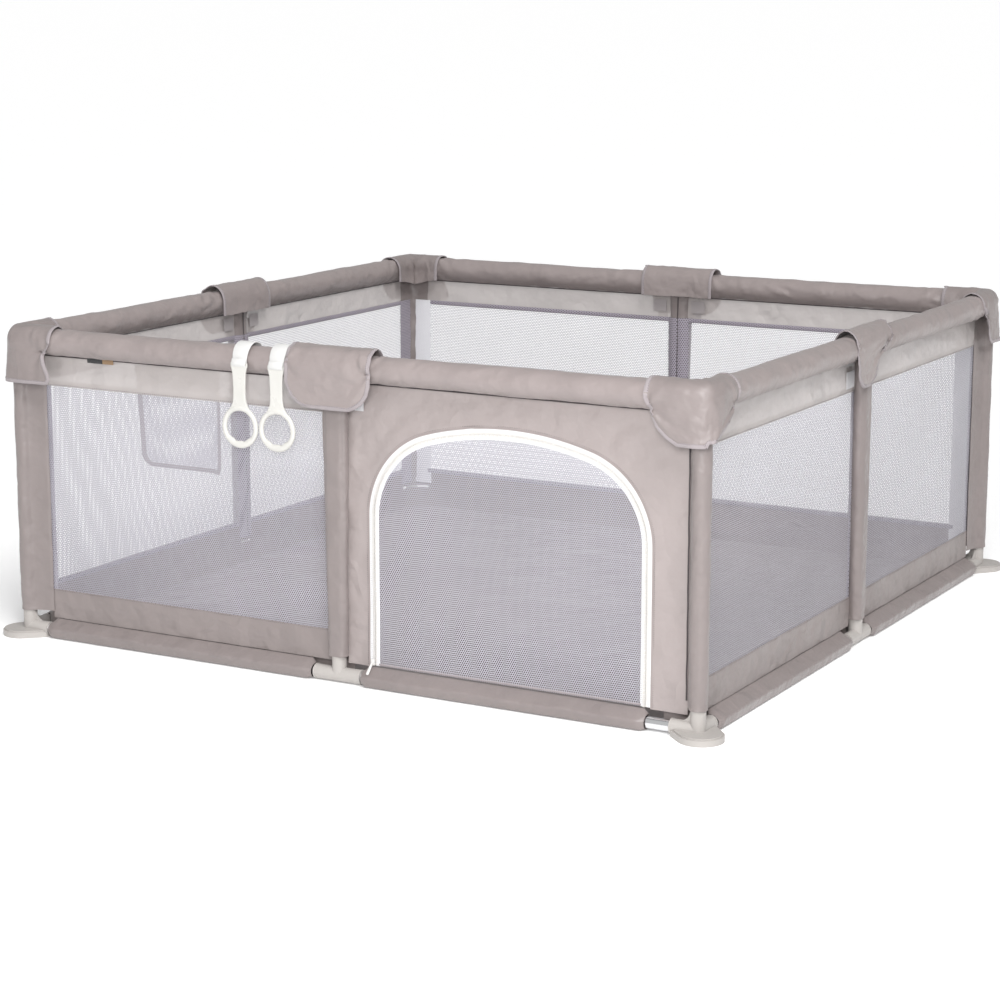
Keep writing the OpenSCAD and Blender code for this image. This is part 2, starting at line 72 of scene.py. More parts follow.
half_w = (low("top_rail_right").x + high("top_rail_right").x) / 2
half_d = -(low("top_rail_front").y + high("top_rail_front").y) / 2
rail_z = (low("top_rail_front").z + high("top_rail_front").z) / 2
tube_r = (high("top_rail_front").z - low("top_rail_front").z) / 2
bottom_z = (low("bottom_rail_front").z + high("bottom_rail_front").z) / 2
cover_r = high("rail_covers").z - rail_z
seam_z = low("rail_covers").z
band_z = high("net_front").z
net_z = low("net_front").z
skirt_z = low("bottom_skirts").z
wall_in = (low("net_front").y + high("net_front").y) / 2 + half_d
mouth = high("top_tee_front").x
sleeve_z = low("mid_sleeves").z
hinge_z = low("door_net").z
bay_in = -high("net_front").x
corner_r = -low("corner_sleeves").x - half_w


def half_length(s):
    return half_w if s % 2 == 0 else half_d


def side_offset(s):
    return half_d if s % 2 == 0 else half_w


def on_side(s, x, y, z):
    """A place on side s: x runs along it from its middle post, y inwards from the rail's axis."""
    return Matrix.Rotation(s * math.pi / 2, 3, "Z") @ Vector((x, y - side_offset(s), z))


def at_corner(c, x, y, z):
    """A place at corner c, whose two rails leave along +x and +y."""
    sx = -1 if c in (0, 3) else 1
    sy = -1 if c < 2 else 1
    turned = Matrix.Rotation(c * math.pi / 2, 3, "Z") @ Vector((x, y, z))
    return turned + Vector((sx * half_w, sy * half_d, 0))


def bay_end(s, direction):
    """Distance from the middle post to the outer end of the bay's cloth."""
    if s == 0 and direction > 0:
        return high("door_surround").x
    axis = s % 2
    turned = -1 if s in (2, 3) else 1
    edge = high("net_" + SIDES[s]) if direction * turned > 0 else low("net_" + SIDES[s])
    return abs(edge[axis])


def bays(with_door=False):
    return [(s, d) for s in range(4) for d in (-1, 1) if with_door or (s, d) != (0, 1)]


def bay_name(s, direction):
    return f"{SIDES[s]}_{'left' if direction < 0 else 'right'}"


def lerp(a, b, t):
    return a + (b - a) * t


def smooth(t):
    t = min(1, max(0, t))
    return t * t * (3 - 2 * t)


def ripple(x, y, z, size, seed=0):
    """Smooth noise from -1 to 1 with bumps of the given size."""
    return noise.noise(Vector((x / size + seed * 13.7, y / size + seed * 7.3, z / size - seed * 5.9)))


# ---- camera, light and floor ------------------------------------------------------------------

CAMERA_AT = (2.526, -4.631, 1.304)
CAMERA_TURN = 0.511
CAMERA_DOWN = 0.203


def set_stage():
    camera = bpy.data.objects.new("camera", bpy.data.cameras.new("camera"))
    bpy.context.scene.collection.objects.link(camera)
    camera.data.lens = 90.5
    camera.data.sensor_width = 36
    camera.location = CAMERA_AT
    camera.rotation_euler = (math.pi / 2 - CAMERA_DOWN, 0, CAMERA_TURN)
    bpy.context.scene.camera = camera
    bpy.context.scene.view_settings.view_transform = "Standard"

    world = bpy.data.worlds.new("studio")
    world.use_nodes = True
    world.node_tree.nodes["Background"].inputs["Color"].default_value = (1.0, 1.0, 1.0, 1)
    world.node_tree.nodes["Background"].inputs["Strength"].default_value = 0.40
    bpy.context.scene.world = world

    for name, toward, strength, spread_angle in (
        ("key_light", (-0.55, 0.42, -0.90), 2.10, 0.5),
        ("fill_light", (0.30, 0.85, -0.50), 0.30, 1.4),
    ):
        lamp = bpy.data.objects.new(name, bpy.data.lights.new(name, "SUN"))
        bpy.context.scene.collection.objects.link(lamp)
        lamp.data.energy = strength
        lamp.data.angle = spread_angle
        lamp.location = -3 * Vector(toward)
        lamp.rotation_euler = Vector(toward).to_track_quat("-Z", "Y").to_euler()

    softbox = bpy.data.objects.new("softbox", bpy.data.lights.new("softbox", "AREA"))
    bpy.context.scene.collection.objects.link(softbox)
    softbox.data.shape = "DISK"
    softbox.data.size = 1.0
    softbox.data.energy = 58
    softbox.location = (1.55, -3.15, 1.5)
    aim = Vector((0.35, -0.7, 0.4)) - softbox.location
    softbox.rotation_euler = aim.to_track_quat("-Z", "Y").to_euler()

    bpy.ops.mesh.primitive_plane_add(size=600, location=(0, 0, -0.4 * MM))
    floor = bpy.context.object
    floor.name = "studio_floor"
    floor.data.transform(Matrix.Translation(floor.location))
    floor.location = (0, 0, 0)
    floor.data.materials.append(studio_floor_material())
    floor.select_set(False)


# ---- shader building --------------------------------------------------------------------------

class Graph:
    """A node tree with short calls for adding and joining nodes."""

    def __init__(self, tree):
        self.tree = tree

    def add(self, kind, **settings):
        node = self.tree.nodes.new(kind)
        for key, value in settings.items():
            setattr(node, key, value)
        return node

    def feed(self, socket, value):
        if isinstance(value, bpy.types.NodeSocket):
            self.tree.links.new(value, socket)
        else:
            socket.default_value = value

    def math(self, operation, a, b=0.0, c=0.0, clamp=False):
        node = self.add("ShaderNodeMath", operation=operation, use_clamp=clamp)
        for socket, value in zip(node.inputs, (a, b, c)):
            self.feed(socket, value)
        return node.outputs[0]

    def split(self, vector):
        node = self.add("ShaderNodeSeparateXYZ")
        self.feed(node.inputs[0], vector)
        return node.outputs

    def noise(self, vector, scale, detail=2.0, roughness=0.5):
        node = self.add("ShaderNodeTexNoise")
        self.feed(node.inputs["Vector"], vector)
        node.inputs["Scale"].default_value = scale
        node.inputs["Detail"].default_value = detail
        node.inputs["Roughness"].default_value = roughness
        return node.outputs["Fac"]

    def mix(self, factor, a, b, blend="MIX"):
        node = self.add("ShaderNodeMix", data_type="RGBA", blend_type=blend)
        self.feed(node.inputs["Factor"], factor)
        self.feed(node.inputs["A"], a)
        self.feed(node.inputs["B"], b)
        return node.outputs["Result"]

    def spread(self, value, low_in, high_in, low_out=0.0, high_out=1.0):
        node = self.add("ShaderNodeMapRange")
        for key, v in zip(("Value", "From Min", "From Max", "To Min", "To Max"),
                          (value, low_in, high_in, low_out, high_out)):
            self.feed(node.inputs[key], v)
        return node.outputs["Result"]

    def group(self, group, **inputs):
        node = self.add("ShaderNodeGroup", node_tree=group)
        for key, value in inputs.items():
            self.feed(node.inputs[key], value)
        return node.outputs

    def bump(self, height, strength, distance, normal=None):
        node = self.add("ShaderNodeBump")
        node.inputs["Strength"].default_value = strength
        node.inputs["Distance"].default_value = distance
        self.feed(node.inputs["Height"], height)
        if normal is not None:
            self.feed(node.inputs["Normal"], normal)
        return node.outputs["Normal"]


def shader_group(name, inputs, outputs):
    """A new shader node group, with its graph and its input and output sockets."""
    group = bpy.data.node_groups.new(name, "ShaderNodeTree")
    for label, kind in inputs:
        group.interface.new_socket(name=label, in_out="INPUT", socket_type=kind)
    for label, kind in outputs:
        group.interface.new_socket(name=label, in_out="OUTPUT", socket_type=kind)
    graph = Graph(group)
    return group, graph, graph.add("NodeGroupInput").outputs, graph.add("NodeGroupOutput").inputs


VECTOR, FLOAT, COLOUR = "NodeSocketVector", "NodeSocketFloat", "NodeSocketColor"


def weave_group():
    """Plain weave: threads of the given pitch that pass over and under each other."""
    group, g, given, result = shader_group(
        "plain_weave", [("Cloth", VECTOR), ("Pitch", FLOAT)], [("Height", FLOAT), ("Shade", FLOAT)])
    u, v, _ = g.split(given["Cloth"])
    turns = g.math("DIVIDE", math.pi, given["Pitch"])
    a = g.math("SINE", g.math("MULTIPLY", u, turns))
    b = g.math("SINE", g.math("MULTIPLY", v, turns))
    over = g.math("MULTIPLY", a, b)
    g.feed(result["Height"], g.math("ABSOLUTE", over))
    g.feed(result["Shade"], over)
    return group


def hex_net_group():
    """Knitted net: round holes on a honeycomb grid. Thread is 1 on the yarn and 0 in a hole."""
    group, g, given, result = shader_group(
        "hex_net", [("Cloth", VECTOR), ("Pitch", FLOAT), ("Hole", FLOAT)],
        [("Thread", FLOAT), ("Height", FLOAT)])
    root3 = math.sqrt(3)
    u, v, _ = g.split(given["Cloth"])
    u = g.math("DIVIDE", u, given["Pitch"])
    v = g.math("DIVIDE", v, given["Pitch"])

    def distance(shift_u, shift_v):
        a = g.math("SUBTRACT", g.math("WRAP", g.math("ADD", u, shift_u), 1.0, 0.0), 0.5)
        b = g.math("SUBTRACT", g.math("WRAP", g.math("ADD", v, shift_v), root3, 0.0), root3 / 2)
        return g.math("SQRT", g.math("ADD", g.math("MULTIPLY", a, a), g.math("MULTIPLY", b, b)))

    nearest = g.math("MINIMUM", distance(0.0, 0.0), distance(0.5, root3 / 2))
    edge = g.math("SUBTRACT", nearest, given["Hole"])
    g.feed(result["Thread"], g.spread(edge, -0.03, 0.03))
    g.feed(result["Height"], g.spread(edge, 0.0, 0.2))
    return group


def tone_group():
    """Slow, faint changes of a cloth's or moulding's colour from place to place."""
    group, g, given, result = shader_group(
        "uneven_tone", [("Place", VECTOR), ("Colour", COLOUR), ("Deep", COLOUR), ("Amount", FLOAT)],
        [("Colour", COLOUR), ("Value", FLOAT)])
    broad = g.noise(given["Place"], 5.0, 3.0, 0.6)
    fine = g.noise(given["Place"], 60.0, 2.0, 0.5)
    both = g.math("ADD", g.math("MULTIPLY", broad, 0.75), g.math("MULTIPLY", fine, 0.25))
    value = g.spread(both, 0.38, 0.62)
    g.feed(result["Colour"],
           g.mix(g.math("MULTIPLY", value, given["Amount"]), given["Colour"], given["Deep"]))
    g.feed(result["Value"], value)
    return group


def ribs_group():
    """Raised ribs across a tape, with a fine thread along each."""
    group, g, given, result = shader_group(
        "tape_ribs", [("Cloth", VECTOR), ("Pitch", FLOAT)], [("Height", FLOAT)])
    u, v, _ = g.split(given["Cloth"])
    turns = g.math("DIVIDE", 2 * math.pi, given["Pitch"])
    across = g.math("SINE", g.math("MULTIPLY", v, turns))
    slant = g.math("SINE", g.math("MULTIPLY", g.math("ADD", u, v), g.math("MULTIPLY", turns, 2.0)))
    g.feed(result["Height"],
           g.math("ADD", g.math("MULTIPLY", across, 0.6), g.math("MULTIPLY", slant, 0.4)))
    return group


WEAVE = weave_group()
HEX_NET = hex_net_group()
TONE = tone_group()
RIBS = ribs_group()


def new_material(name, colour, roughness, **constants):
    """A material with one Principled shader; constants are set on the shader's own sockets."""
    material = bpy.data.materials.new(name)
    material.use_nodes = True
    g = Graph(material.node_tree)
    shader = material.node_tree.nodes["Principled BSDF"]
    shader.inputs["Base Color"].default_value = (*colour, 1)
    shader.inputs["Roughness"].default_value = roughness
    for key, value in constants.items():
        shader.inputs[key.replace("_", " ")].default_value = value
    material.diffuse_color = (*colour, 1)
    return material, g, shader


def oxford(name, colour, roughness=0.37, **constants):
    """Coated Oxford cloth: a fine plain weave, a soft satin gloss and faint crumples."""
    material, g, shader = new_material(
        name, colour, roughness, Sheen_Weight=0.10, Sheen_Roughness=0.4, Specular_IOR_Level=0.55,
        **constants)
    place = g.add("ShaderNodeTexCoord")
    deep = tuple(c * 0.86 for c in colour)
    tone = g.group(TONE, Place=place.outputs["Object"], Colour=(*colour, 1), Deep=(*deep, 1),
                   Amount=0.4)
    weave = g.group(WEAVE, Cloth=place.outputs["UV"], Pitch=0.62 * MM)
    shaded = g.mix(g.spread(weave["Shade"], -1.0, 1.0, 0.0, 0.10), tone["Colour"], (*deep, 1))
    g.feed(shader.inputs["Base Color"], shaded)
    g.feed(shader.inputs["Roughness"],
           g.spread(tone["Value"], 0.0, 1.0, roughness - 0.05, roughness + 0.08))
    crumple = g.math("ADD", g.noise(place.outputs["UV"], 9.0, 2.0, 0.4),
                     g.math("MULTIPLY", g.noise(place.outputs["UV"], 27.0, 2.0, 0.5), 0.28))
    lines = g.math("ABSOLUTE", g.math("SUBTRACT", g.noise(place.outputs["UV"], 8.0, 2.0, 0.5), 0.5))
    sharp = g.math("MULTIPLY", g.spread(lines, 0.0, 0.07, 1.0, 0.0),
                   g.spread(g.noise(place.outputs["UV"], 7.0, 1.0, 0.4), 0.46, 0.66))
    soft = g.bump(sharp, 0.9, 2.6 * MM, g.bump(crumple, 1.0, 18.0 * MM))
    g.feed(shader.inputs["Normal"], g.bump(weave["Height"], 0.25, 0.12 * MM, soft))
    return material


def net_material(name, colour, hole, pitch, hole_colour=None):
    """Knitted net whose holes let the view through, or are filled with a fixed colour."""
    material, g, shader = new_material(name, colour, 0.6, Sheen_Weight=0.15, Specular_IOR_Level=0.3)
    place = g.add("ShaderNodeTexCoord")
    net = g.group(HEX_NET, Cloth=place.outputs["UV"], Pitch=pitch, Hole=hole)
    deep = tuple(c * 0.9 for c in colour)
    tone = g.group(TONE, Place=place.outputs["Object"], Colour=(*colour, 1), Deep=(*deep, 1),
                   Amount=0.7)
    if hole_colour:
        g.feed(shader.inputs["Base Color"], g.mix(net["Thread"], (*hole_colour, 1), tone["Colour"]))
    else:
        g.feed(shader.inputs["Base Color"], tone["Colour"])
        g.feed(shader.inputs["Alpha"], net["Thread"])
    g.feed(shader.inputs["Normal"], g.bump(net["Height"], 0.5, 0.5 * MM))
    return material


def tape_material(name, colour, pitch, deepen=0.8):
    """Woven tape or webbing with ribs across it."""
    material, g, shader = new_material(name, colour, 0.65, Sheen_Weight=0.2)
    place = g.add("ShaderNodeTexCoord")
    deep = tuple(c * deepen for c in colour)
    ribs = g.group(RIBS, Cloth=place.outputs["UV"], Pitch=pitch)
    tone = g.group(TONE, Place=place.outputs["Object"], Colour=(*colour, 1), Deep=(*deep, 1),
                   Amount=0.35)
    shaded = g.mix(g.spread(ribs["Height"], -1.0, 1.0, 0.35, 0.0), tone["Colour"], (*deep, 1))
    g.feed(shader.inputs["Base Color"], shaded)
    g.feed(shader.inputs["Normal"], g.bump(ribs["Height"], 0.5, 0.3 * MM))
    return material


def moulded(name, colour, roughness, grain, **constants):
    """Moulded plastic or rubber: a fine spark grain and a few rubbed places."""
    material, g, shader = new_material(name, colour, roughness, **constants)
    place = g.add("ShaderNodeTexCoord")
    deep = tuple(c * 0.88 for c in colour)
    tone = g.group(TONE, Place=place.outputs["Object"], Colour=(*colour, 1), Deep=(*deep, 1),
                   Amount=0.6)
    g.feed(shader.inputs["Base Color"], tone["Colour"])
    speckle = g.noise(place.outputs["Object"], 1900.0, 2.0, 0.6)
    g.feed(shader.inputs["Roughness"],
           g.spread(tone["Value"], 0.0, 1.0, roughness - 0.06, roughness + 0.08))
    g.feed(shader.inputs["Normal"], g.bump(speckle, grain, 0.1 * MM))
    return material


def polished_steel():
    material, g, shader = new_material("polished_steel", (0.76, 0.76, 0.77), 0.16, Metallic=1.0)
    place = g.add("ShaderNodeTexCoord")
    tone = g.group(TONE, Place=place.outputs["Object"], Colour=(0.78, 0.78, 0.79, 1),
                   Deep=(0.60, 0.60, 0.62, 1), Amount=0.5)
    g.feed(shader.inputs["Base Color"], tone["Colour"])
    draw_lines = g.noise(place.outputs["Object"], 900.0, 2.0, 0.4)
    g.feed(shader.inputs["Roughness"], g.spread(draw_lines, 0.3, 0.7, 0.10, 0.24))
    return material


def studio_floor_material():
    material, g, shader = new_material("studio_paper", (0.93, 0.93, 0.93), 0.75, Specular_IOR_Level=0.2,
                                       Emission_Color=(1, 1, 1, 1), Emission_Strength=0.13)
    place = g.add("ShaderNodeTexCoord")
    tone = g.group(TONE, Place=place.outputs["Object"], Colour=(0.93, 0.93, 0.93, 1),
                   Deep=(0.91, 0.91, 0.91, 1), Amount=0.5)
    g.feed(shader.inputs["Base Color"], tone["Colour"])
    return material


GREIGE = (0.292, 0.250, 0.243)
COVER_CLOTH = oxford("oxford_cover", GREIGE)
# The cover's cloth made darker for the corner caps: painted shade on the caps.
CAP_CLOTH_SHADED = oxford("oxford_cap_painted_shade", (0.250, 0.214, 0.208), roughness=0.40)
BAND_CLOTH = oxford("oxford_band", (0.480, 0.440, 0.428), roughness=0.42, Alpha=0.88)
WALL_CLOTH = oxford("oxford_wall", (0.330, 0.286, 0.278), roughness=0.40)
SKIRT_CLOTH = oxford("oxford_skirt", (0.245, 0.210, 0.203), roughness=0.40)
SLEEVE_CLOTH = oxford("oxford_sleeve", (0.232, 0.199, 0.193))
FLOOR_CLOTH = oxford("oxford_floor", (0.220, 0.190, 0.186), roughness=0.6)
NET = net_material("net_white", (0.49, 0.475, 0.53), 0.385, 4.5 * MM)
NET_PALE = net_material("net_folded_pale", (0.84, 0.84, 0.87), 0.30, 4.5 * MM,
                        hole_colour=(0.72, 0.72, 0.75))
# The folded edges' holes are filled near-black: painted shade inside the doubled net.
NET_EDGE = net_material("net_folded_edge", (0.40, 0.37, 0.425), 0.34, 5.2 * MM,
                        hole_colour=(0.13, 0.11, 0.13))
BINDING = tape_material("binding_tape", (0.345, 0.305, 0.315), 1.1 * MM)
# Near-black strips: painted shade where the seams lie in shadow.
SEAM_SHADE = tape_material("seam_shade_strips", (0.060, 0.048, 0.050), 0.7 * MM)
ZIP_TAPE = tape_material("zip_tape", (0.80, 0.80, 0.81), 0.9 * MM, deepen=0.96)
ZIP_COIL = moulded("zip_coil", (0.74, 0.715, 0.68), 0.35, 0.05)
ZIP_METAL = moulded("zip_enamel", (0.72, 0.71, 0.69), 0.3, 0.05)
WEBBING = tape_material("white_webbing", (0.67, 0.665, 0.655), 1.6 * MM, deepen=0.92)
THREAD = tape_material("sewing_thread", (0.085, 0.07, 0.078), 0.5 * MM)
PLASTIC = moulded("grey_plastic", (0.42, 0.395, 0.375), 0.40, 0.12)
RUBBER = moulded("suction_rubber", (0.50, 0.49, 0.47), 0.5, 0.1)
RING_PLASTIC = moulded("ivory_plastic", (0.59, 0.58, 0.55), 0.32, 0.04, Coat_Weight=0.15)
LOOP_TAPE = tape_material("loop_tape", (0.40, 0.365, 0.368), 0.8 * MM)
LOOP_WHITE = tape_material("loop_tape_white", (0.70, 0.69, 0.71), 0.8 * MM)
LABEL_DARK = tape_material("label_dark", (0.022, 0.022, 0.024), 0.6 * MM)
LABEL_TAN = tape_material("label_tan", (0.30, 0.19, 0.10), 0.6 * MM)
STEEL = polished_steel()


# ---- mesh building ----------------------------------------------------------------------------

def surface(rows, closed=False, capped=False, uv=None):
    """A skin over rows of points. A closed row is a loop; capped rows of loops end in flat fans.
    The cloth coordinates are in metres, measured along the rows unless uv(point) gives them."""
    count = len(rows[0])
    steps = count if closed else count - 1
    across = [0.0]
    for j in range(steps):
        across.append(across[-1] + np.mean([(r[(j + 1) % count] - r[j]).length for r in rows]))
    along = [0.0]
    for a, b in zip(rows, rows[1:]):
        along.append(along[-1] + np.mean([(q - p).length for p, q in zip(a, b)]))
    points = [p for row in rows for p in row]
    faces, corners = [], []
    for i in range(len(rows) - 1):
        for j in range(steps):
            k = (j + 1) % count
            face = (i * count + j, i * count + k, (i + 1) * count + k, (i + 1) * count + j)
            faces.append(face)
            if uv:
                corners += [uv(points[f]) for f in face]
            else:
                corners += [(across[j], along[i]), (across[j + 1], along[i]),
                            (across[j + 1], along[i + 1]), (across[j], along[i + 1])]
    if capped:
        for row, start in ((rows[0], 0), (rows[-1], (len(rows) - 1) * count)):
            middle = len(points)
            points.append(sum(row, Vector()) / count)
            for j in range(count):
                face = (start + j, start + (j + 1) % count, middle)
                faces.append(face)
                corners += [(across[j], 0.0), (across[j + 1], 0.0), (across[j], cover_r)]
    return points, faces, corners


def merge(*skins):
    """Several skins as one."""
    points, faces, corners = [], [], []
    for more_points, more_faces, more_corners in skins:
        shift = len(points)
        points += more_points
        faces += [tuple(f + shift for f in face) for face in more_faces]
        corners += more_corners
    return points, faces, corners


def piece(name, skin, material, slot, body="pen", thickness=0.0, offset=0.0, shade_angle=60,
          outward=None):
    """An object from a skin, thickened if asked, riding on a body."""
    points, faces, corners = skin
    mesh = bpy.data.meshes.new(name)
    mesh.from_pydata(points, [], faces)
    layer = mesh.uv_layers.new(name="cloth")
    layer.data.foreach_set("uv", np.array(corners, np.float32).ravel())
    mesh.materials.append(material)
    obj = bpy.data.objects.new(name, mesh)
    bpy.context.scene.collection.objects.link(obj)
    bm = bmesh.new()
    bm.from_mesh(mesh)
    bmesh.ops.recalc_face_normals(bm, faces=bm.faces)
    if outward is not None:
        bm.faces.ensure_lookup_table()
        if sum((f.normal.dot(outward) * f.calc_area() for f in bm.faces)) < 0:
            bmesh.ops.reverse_faces(bm, faces=bm.faces)
    bm.to_mesh(mesh)
    bm.free()
    if thickness:
        modifier = obj.modifiers.new("thickness", "SOLIDIFY")
        modifier.thickness = thickness
        modifier.offset = offset
        modifier.use_even_offset = False
        apply_modifiers(obj)
    for polygon in obj.data.polygons:
        polygon.use_smooth = True
    select_only(obj)
    bpy.ops.object.shade_smooth_by_angle(angle=math.radians(shade_angle))
    obj.select_set(False)
    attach(obj, body)
    return obj


def select_only(obj):
    bpy.ops.object.select_all(action="DESELECT")
    obj.select_set(True)
    bpy.context.view_layer.objects.active = obj


def apply_modifiers(obj):
    select_only(obj)
    for modifier in list(obj.modifiers):
        bpy.ops.object.modifier_apply(modifier=modifier.name)
    obj.select_set(False)


def cloth(name, skin, flat, held, rests_on, material, slot, body="pen", **finish):
    """A sheet of cloth, made as a piece."""
    obj = piece(name, skin, material, slot, body, **finish)
    return obj


def row_length(points):
    return sum((b - a).length for a, b in zip(points, points[1:]))


def frames_along(path):
    """Unit tangents of a path."""
    last = len(path) - 1
    return [(path[min(i + 1, last)] - path[max(i - 1, 0)]).normalized() for i in range(last + 1)]


def for_each(path, value):
    """One vector for each place on a path, from a single vector or a list of them."""
    return [value] * len(path) if isinstance(value, Vector) else value


def tape(path, inward, normal, width, thickness):
    """A flat tape along a path: it reaches width inwards from the path and is a soft-edged strip."""
    rows = []
    for p, a, n in zip(path, for_each(path, inward), for_each(path, normal)):
        h = thickness / 2
        rows.append([
            p + n * h * 0.3, p + a * width * 0.12 + n * h, p + a * width * 0.88 + n * h,
            p + a * width + n * h * 0.3, p + a * width - n * h * 0.3, p + a * width * 0.88 - n * h,
            p + a * width * 0.12 - n * h, p - n * h * 0.3,
        ])
    return surface(rows, closed=True, capped=True)


def resample(path, spacing):
    """Evenly spaced places along a path, as (index, share) pairs with the path's points."""
    lengths = [0.0]
    for a, b in zip(path, path[1:]):
        lengths.append(lengths[-1] + (b - a).length)
    count = max(1, int(lengths[-1] / spacing))
    places = []
    i = 0
    for k in range(count):
        at = (k + 0.5) * lengths[-1] / count
        while lengths[i + 1] < at:
            i += 1
        places.append((i, (at - lengths[i]) / (lengths[i + 1] - lengths[i])))
    return places


def stitches(path, normal, lift=0.5 * MM, pitch=3.8 * MM, length=3.3 * MM):
    """A row of sewn stitches on a path: each is a short spindle lying on the cloth."""
    radius = 0.62 * MM
    normal = for_each(path, normal)
    points, faces, corners = [], [], []
    for i, t in resample(path, pitch):
        middle = path[i].lerp(path[i + 1], t) + normal[i].lerp(normal[i + 1], t) * lift
        along = (path[i + 1] - path[i]).normalized()
        up = normal[i].lerp(normal[i + 1], t).normalized()
        across = along.cross(up).normalized()
        start = len(points)
        points += [middle - along * length / 2 - up * radius, middle + along * length / 2 - up * radius]
        for x, y in ((1, 0), (0, 1), (-1, 0), (0, -1)):
            points.append(middle + (across * x + up * y) * radius)
        for k in range(4):
            a, b = start + 2 + k, start + 2 + (k + 1) % 4
            faces += [(start, b, a), (start + 1, a, b)]
            corners += [(0, 0), (radius, 0), (radius, length)] * 2
    return points, faces, corners


# ---- rail covers ------------------------------------------------------------------------------

PAD_START = mouth + 2 * MM
UNDER_SADDLE = 96 * MM
UNDER_CAP = 104 * MM
SEAM_SIDE = math.atan2(wall_in, cover_r)


def cover_rings(s, seed):
    """Loops round one padded rail, from end to end. A loop starts at the seam underneath."""
    start, end = PAD_START, half_length(s) - PAD_START
    shoulder = 16 * MM
    stops = [0.0, 0.0, 1.5 * MM, 4 * MM, 8 * MM, 12 * MM, shoulder]
    middle = list(np.linspace(start + shoulder + 8 * MM, end - shoulder - 8 * MM, 150))
    places = [start + t for t in stops] + middle + [end - t for t in reversed(stops)]
    around = 60
    rings = []
    for i, x in enumerate(places):
        inner_ring = i in (0, len(places) - 1)
        from_end = min(x - start, end - x)
        closing = 1 - math.sqrt(max(0.0, 1 - max(0.0, 1 - from_end / shoulder) ** 2))
        from_saddle, from_cap = abs(x - UNDER_SADDLE), abs(half_length(s) - UNDER_CAP - x)
        pulled = (math.exp(-min(from_saddle, from_cap) / (42 * MM))
                  * (0.6 + 0.7 * ripple(x, 0, seed, 0.03, 9)))
        lean_in = 1 if from_saddle < from_cap else -1
        ring = []
        for j in range(around):
            a = 2 * math.pi * j / around
            off_seam = min(a, 2 * math.pi - a) * cover_r
            r = cover_r - 0.5 * MM
            r += 3.2 * MM * math.exp(-((off_seam / (2.4 * MM)) ** 2))
            wide = a * cover_r
            r += 1.5 * MM * ripple(x * 0.35, wide, seed, 0.05, seed) * smooth(from_end / (30 * MM))
            r += 0.7 * MM * ripple(x * 0.7, wide * 1.6, seed, 0.03, seed + 3)
            r += (0.8 * MM * math.sin(x / (7 * MM) + 3 * ripple(x, 0, 0, 0.06, seed))
                  * math.exp(-off_seam / (7 * MM)))
            r += 1.5 * MM * pulled * math.sin((x * lean_in + 0.9 * wide) / (6.5 * MM)
                                              + 2 * ripple(x, wide, 0, 0.04, seed))
            loose = max(0.0, ripple(x, wide, seed, 0.07, seed + 5)) ** 1.5
            r += (2.6 * MM * loose * math.sin((0.35 * x + wide) / (4.5 * MM))
                  * smooth(off_seam / (9 * MM)))
            r -= 1.6 * MM * smooth(math.cos(SEAM_SIDE + a - math.pi / 2) * 1.2 - 0.2)
            r *= 1 - 0.34 * closing
            if inner_ring:
                r = tube_r + 3.2 * MM
            turn = SEAM_SIDE + a
            ring.append(on_side(s, x, r * math.sin(turn), rail_z - r * math.cos(turn)))
        rings.append(ring)
    return rings


def mirrored(s, ring):
    """The same loop on the left bay of its side."""
    turn = Matrix.Rotation(s * math.pi / 2, 3, "Z")
    back = turn.inverted()
    result = []
    for p in ring:
        q = back @ p
        result.append(turn @ Vector((-q.x, q.y, q.z)))
    return result


def make_rail_covers():
    for s, direction in bays(with_door=True):
        rings = cover_rings(s, seed=s * 2 + direction)
        if direction < 0:
            rings = [mirrored(s, ring) for ring in rings]
        skin = surface(rings, closed=True, capped=True)
        cover = piece(f"rail_cover_{bay_name(s, direction)}", skin, COVER_CLOTH, "cover_cloth")
        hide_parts("rail_covers", "rail_pads")


def make_seam_shades():
    """Painted shade: near-black strips at the seams that lie in shadow, under each rail cover on
    both faces of the wall, beside the door's panel and down each middle post.
    """
    strips = []
    for s, direction in bays(with_door=True):
        xs = np.linspace(PAD_START + 4 * MM, half_length(s) - PAD_START - 4 * MM, 60)
        outward = outward_of(s)
        for face in (1, -1):
            path = [on_side(s, direction * x, wall_in + 0.6 * MM * ripple(x, s, direction, 0.05),
                            seam_z + 0.8 * MM) + outward * face * 1.9 * MM for x in xs]
            strips.append(tape(path, -UP, outward * face, 2.4 * MM, 1.6 * MM))
    right = high("door_surround").x
    zs = np.linspace(sleeve_z + 12 * MM, seam_z - 4 * MM, 60)
    path = [on_side(0, right - 0.5 * MM + 0.8 * MM * ripple(0, 0, z, 0.03, 77), wall_in - 2.4 * MM, z)
            for z in zs]
    strips.append(tape(path, Vector((-1, 0, 0)), outward_of(0), 2.8 * MM, 2.0 * MM))
    groove = high("mid_sleeves").y - half_d - 1.2 * MM
    zs = np.linspace(skirt_z + 24 * MM, seam_z - 2 * MM, 60)
    for s in range(4):
        path = [on_side(s, -1.6 * MM + 1.6 * MM * ripple(s, 0, z, 0.06, 78), groove, z) for z in zs]
        along = on_side(s, 1, 0, 0) - on_side(s, 0, 0, 0)
        strips.append(tape(path, along, -outward_of(s), 3.2 * MM, 2.4 * MM))
    piece("seam_shade_strips", merge(*strips), SEAM_SHADE, "cover_cloth")


# ---- walls ------------------------------------------------------------------------------------

def wall_y(s, x, z):
    """How far in from the rail's axis the wall hangs: it is held at the posts, rail and hem, and
    slack between them."""
    height = (seam_z - z) / (seam_z - skirt_z)
    far = half_length(s) - abs(x)
    held = smooth((abs(x) - bay_in) / 0.12) * smooth((far - 0.06) / 0.12)
    slack = 3.6 * ripple(x, z * 0.5, s, 0.22, 4) + 2.4 * ripple(x + z * 0.45, z * 0.2, s, 0.06, 5)
    hang = math.sin(math.pi * min(1, max(0, height)))
    return wall_in + 2.0 * MM * height + MM * slack * held * (0.25 + 0.75 * hang)


